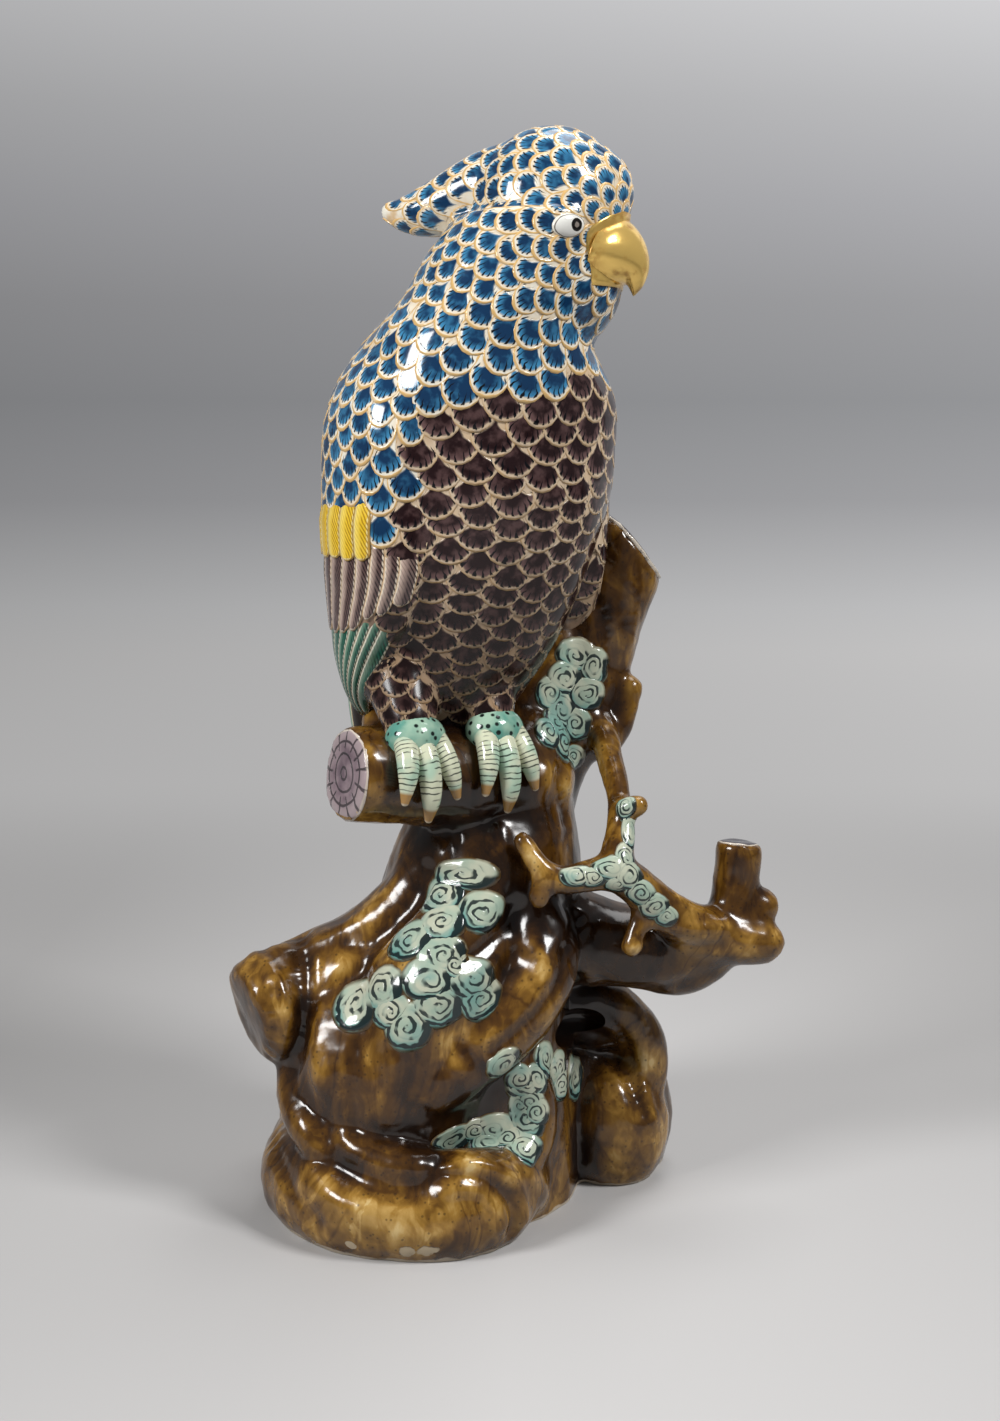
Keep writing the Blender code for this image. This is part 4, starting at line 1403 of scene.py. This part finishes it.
def lichenFinish():
    wire = newFinish("lichenEnamel")
    x, y = wire.drawn()
    tone = wire.number("tone")
    rim = (x * x + y * y).root()
    x = x + (wire.noise(170) - 0.5) * 0.5
    y = y + (wire.noise(170, 2, wire.elsewhere()) - 0.5) * 0.5
    press = wire.noise(320, 2, wire.elsewhere())
    turn = y.angle(x)
    plain = (x * x + y * y).root()
    far = plain + (turn * 4 + tone * 12).sine() * 0.035
    tilt = tone * 1.2 - 0.6
    # An arc of ink under each rosette, heavier on one side, and a coil inside it
    low = (turn - 1.57 - tilt).cosine()
    heavy = (turn - 2.9 - tilt).cosine().rise(0.55, 1)
    arc = (press * 0.15 + heavy * 0.15 + 0.025 - abs(far - 0.8)).rise(0, 0.04)
    arc = arc * low.rise(-0.45, -0.1)
    coil = (plain * 3.3 - turn / (2 * pi) + tone * 5).stripes()
    inside = far.rise(0.68, 0.56)
    curl = (press * 1.2 - 0.14 - coil).rise(0, 0.16) * inside * far.rise(0.06, 0.14)
    curl = curl * wire.noise(230, 1).rise(0.4, 0.5)
    ink = arc.most(curl * 0.95)
    grey = (press * 0.8 + 0.1 - coil).rise(0, 0.5) * inside * 0.35
    wash = abs(far - 0.82).rise(0.36, 0) * low.rise(-0.4, 0.8)
    wash = wash.most(wire.noise(80).rise(0.5, 0.66) * 0.6)
    stain = rim.rise(0.84, 0.98) * (wire.noise(240).rise(0.3, 0.6) * 0.5 + 0.5)
    paint = layered((0.50, 0.52, 0.40), (wire.noise(120).rise(0.35, 0.7), (0.32, 0.43, 0.34)),
                    (grey, (0.17, 0.25, 0.22)), (wash * 0.9, (0.06, 0.27, 0.26)),
                    (ink * 0.97, (0.007, 0.014, 0.016)), (stain, (0.10, 0.055, 0.016)))
    return closeFinish(wire, paint, 0.12, height=rim.rise(1, 0.8) - ink * 0.3, depth=0.2)


dress(lichenFinish(), lichenPiece)


def perchEndFinish():
    wire = newFinish("sawnEndEnamel")
    x, y = wire.drawn()
    wobble = wire.noise(120) - 0.5
    far = (x * x + y * y).root() + wobble * 0.12
    turn = y.angle(x) / (2 * pi) + wobble * 0.06
    petals = (turn * 13).stripes().rise(0.22, 0.1) * far.rise(0.5, 0.56)
    rings = (far * 3.6).stripes().rise(0.26, 0.12) * far.rise(0.86, 0.8)
    ink = petals.most(rings)
    paint = layered((0.27, 0.2, 0.22), (wire.noise(160, 3).rise(0.35, 0.7), (0.12, 0.08, 0.10)),
                    (far.rise(0.5, 0.9), (0.38, 0.3, 0.31)), (ink * 0.85, (0.02, 0.014, 0.018)),
                    (far.rise(0.93, 0.97), (0.62, 0.54, 0.46)))
    return closeFinish(wire, paint, height=1 - ink, depth=0.25)


dress(perchEndFinish(), perchEnd)


def darkEndFinish():
    wire = newFinish("darkEndEnamel")
    x, y = wire.drawn()
    far = (x * x + y * y).root() + (wire.noise(150, 3) - 0.5) * 0.2
    rings = (far * 5).stripes().rise(0.4, 0.2)
    paint = layered((0.055, 0.045, 0.055), (rings * 0.6, (0.015, 0.012, 0.015)),
                    (far.rise(0.9, 0.95), (0.62, 0.55, 0.46)))
    return closeFinish(wire, paint, 0.12, height=wire.noise(300), depth=0.2)


dress(darkEndFinish(), snagEnd, stubEnd)
print("finishes")


# Setting

setting = {"floor": (0.54, 0.53, 0.525), "wallFrom": 1.95, "world": 0.17}


def onEdges(obj, passes, operator, **how):
    # Runs an operator on the edges with both ends at places that pass
    for edge in obj.data.edges:
        edge.select = all(passes(obj.data.vertices[i].co) for i in edge.vertices)
    bpy.ops.object.mode_set(mode="EDIT")
    operator(**how)
    bpy.ops.mesh.select_all(action="DESELECT")
    bpy.ops.object.mode_set(mode="OBJECT")


def buildFloor():
    bpy.ops.object.select_all(action="DESELECT")
    bpy.ops.mesh.primitive_plane_add(size=5, location=(0, setting["wallFrom"] - 2.5, -0.0002))
    floor = bpy.context.object
    floor.name = "floor"
    bpy.ops.object.transform_apply(location=True, rotation=True, scale=True)
    bpy.ops.object.mode_set(mode="EDIT")
    bpy.ops.mesh.select_mode(type="EDGE")
    bpy.ops.mesh.select_all(action="DESELECT")
    bpy.ops.object.mode_set(mode="OBJECT")
    far = setting["wallFrom"] - 0.01
    onEdges(floor, lambda co: co.y > far, bpy.ops.mesh.extrude_region_move,
            TRANSFORM_OT_translate={"value": (0, 0, 3)})
    onEdges(floor, lambda co: co.y > far and co.z < 1, bpy.ops.mesh.bevel, offset=0.3, segments=16)
    bpy.ops.object.shade_smooth()
    wire = newFinish("greyPaper")
    x, y, z = wire.place()
    # The backdrop's glow is graded as the lamps' light falls on it: darkest about a third of a metre
    # up, brighter above and below that, and brighter to the right; painted light
    wall = z.ramp([
        (0, (0.47, 0.465, 0.465)), (0.05, (0.44, 0.44, 0.445)), (0.195, (0.30, 0.30, 0.31)),
        (0.338, (0.252, 0.255, 0.265)), (0.479, (0.29, 0.29, 0.30)), (0.618, (0.355, 0.355, 0.37)),
        (0.754, (0.43, 0.43, 0.44)), (0.9, (0.54, 0.54, 0.55))])
    # The wall glows only for rays that come from the camera, a mirror image or through glass
    ways = wire.node("ShaderNodeLightPath").socket.node.outputs
    straight, mirrored, through = [
        Wire(wire.material, ways[f"Is {kind} Ray"]) for kind in ("Camera", "Glossy", "Transmission")]
    path = straight.most(mirrored).most(through)
    # The floor is painted darker to each side, most to the left: painted shade where the lamps' light
    # falls off
    side = (x * 1.3).most(-0.3).least(x * -0.7) + 0.98
    plain = wire.node("ShaderNodeBsdfPrincipled", {
        "Base Color": (side * (path * 0.4 + 0.6)).blend((0, 0, 0), setting["floor"]),
        "Roughness": 0.6, "Specular IOR Level": 0.2})
    wall = wire.node("ShaderNodeVectorMath", {0: wall, "Scale": x * 0.25 + 1}, {"operation": "SCALE"})
    glow = wire.node("ShaderNodeEmission", {"Color": wall})
    both = wire.node("ShaderNodeMixShader", {0: path * y.rise(0.2, 0.75), 1: plain, 2: glow})
    wire.node("ShaderNodeOutputMaterial", {"Surface": both})
    dress(wire.material, floor)


buildFloor()

lamps = [
    # Name, place, size and strength
    ("keyLamp", (0.80, -0.52, 1.08), 0.34, 13.5), ("sideLamp", (-0.70, -0.50, 0.62), 0.30, 7.5),
    ("topLamp", (0.25, 0.35, 1.4), 0.7, 7.0),
]
for name, place, size, strength in lamps:
    light = bpy.data.lights.new(name, "AREA")
    light.shape = "SQUARE"
    light.size = size
    light.energy = strength
    lamp = addObject(name, light)
    lamp.location = place
    lamp.rotation_euler = (Vector((0, 0, 0.17)) - Vector(place)).to_track_quat("-Z", "Y").to_euler()

air = bpy.data.worlds.new("studio")
bpy.context.scene.world = air
air.use_nodes = True
sky = air.node_tree.nodes["Background"].inputs
sky["Color"].default_value = (0.97, 0.98, 1.0, 1)
sky["Strength"].default_value = setting["world"]

lens = bpy.data.cameras.new("camera")
lens.sensor_width = 36
lens.lens = 36 * view["focal"] / view["high"]
camera = addObject("camera", lens)
camera.location = view["place"]
camera.rotation_euler = (radians(view["tilt"]), 0, 0)
bpy.context.scene.camera = camera
bpy.context.scene.view_settings.view_transform = "Standard"

pieces = [stumpPiece, birdSkin, blueScales, aubergineScales, *featherPieces.values(), beakPiece,
          beakBase, eyesPiece, toesPiece, cuffsPiece, lichenPiece, perchEnd, snagEnd, stubEnd]
for piece in pieces:
    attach(piece, "root")
    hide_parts("parrot_figurine")
    piece.data.calc_loop_triangles()
    print(piece.name, len(piece.data.loop_triangles), "triangles")

print("setting, camera and sizes")
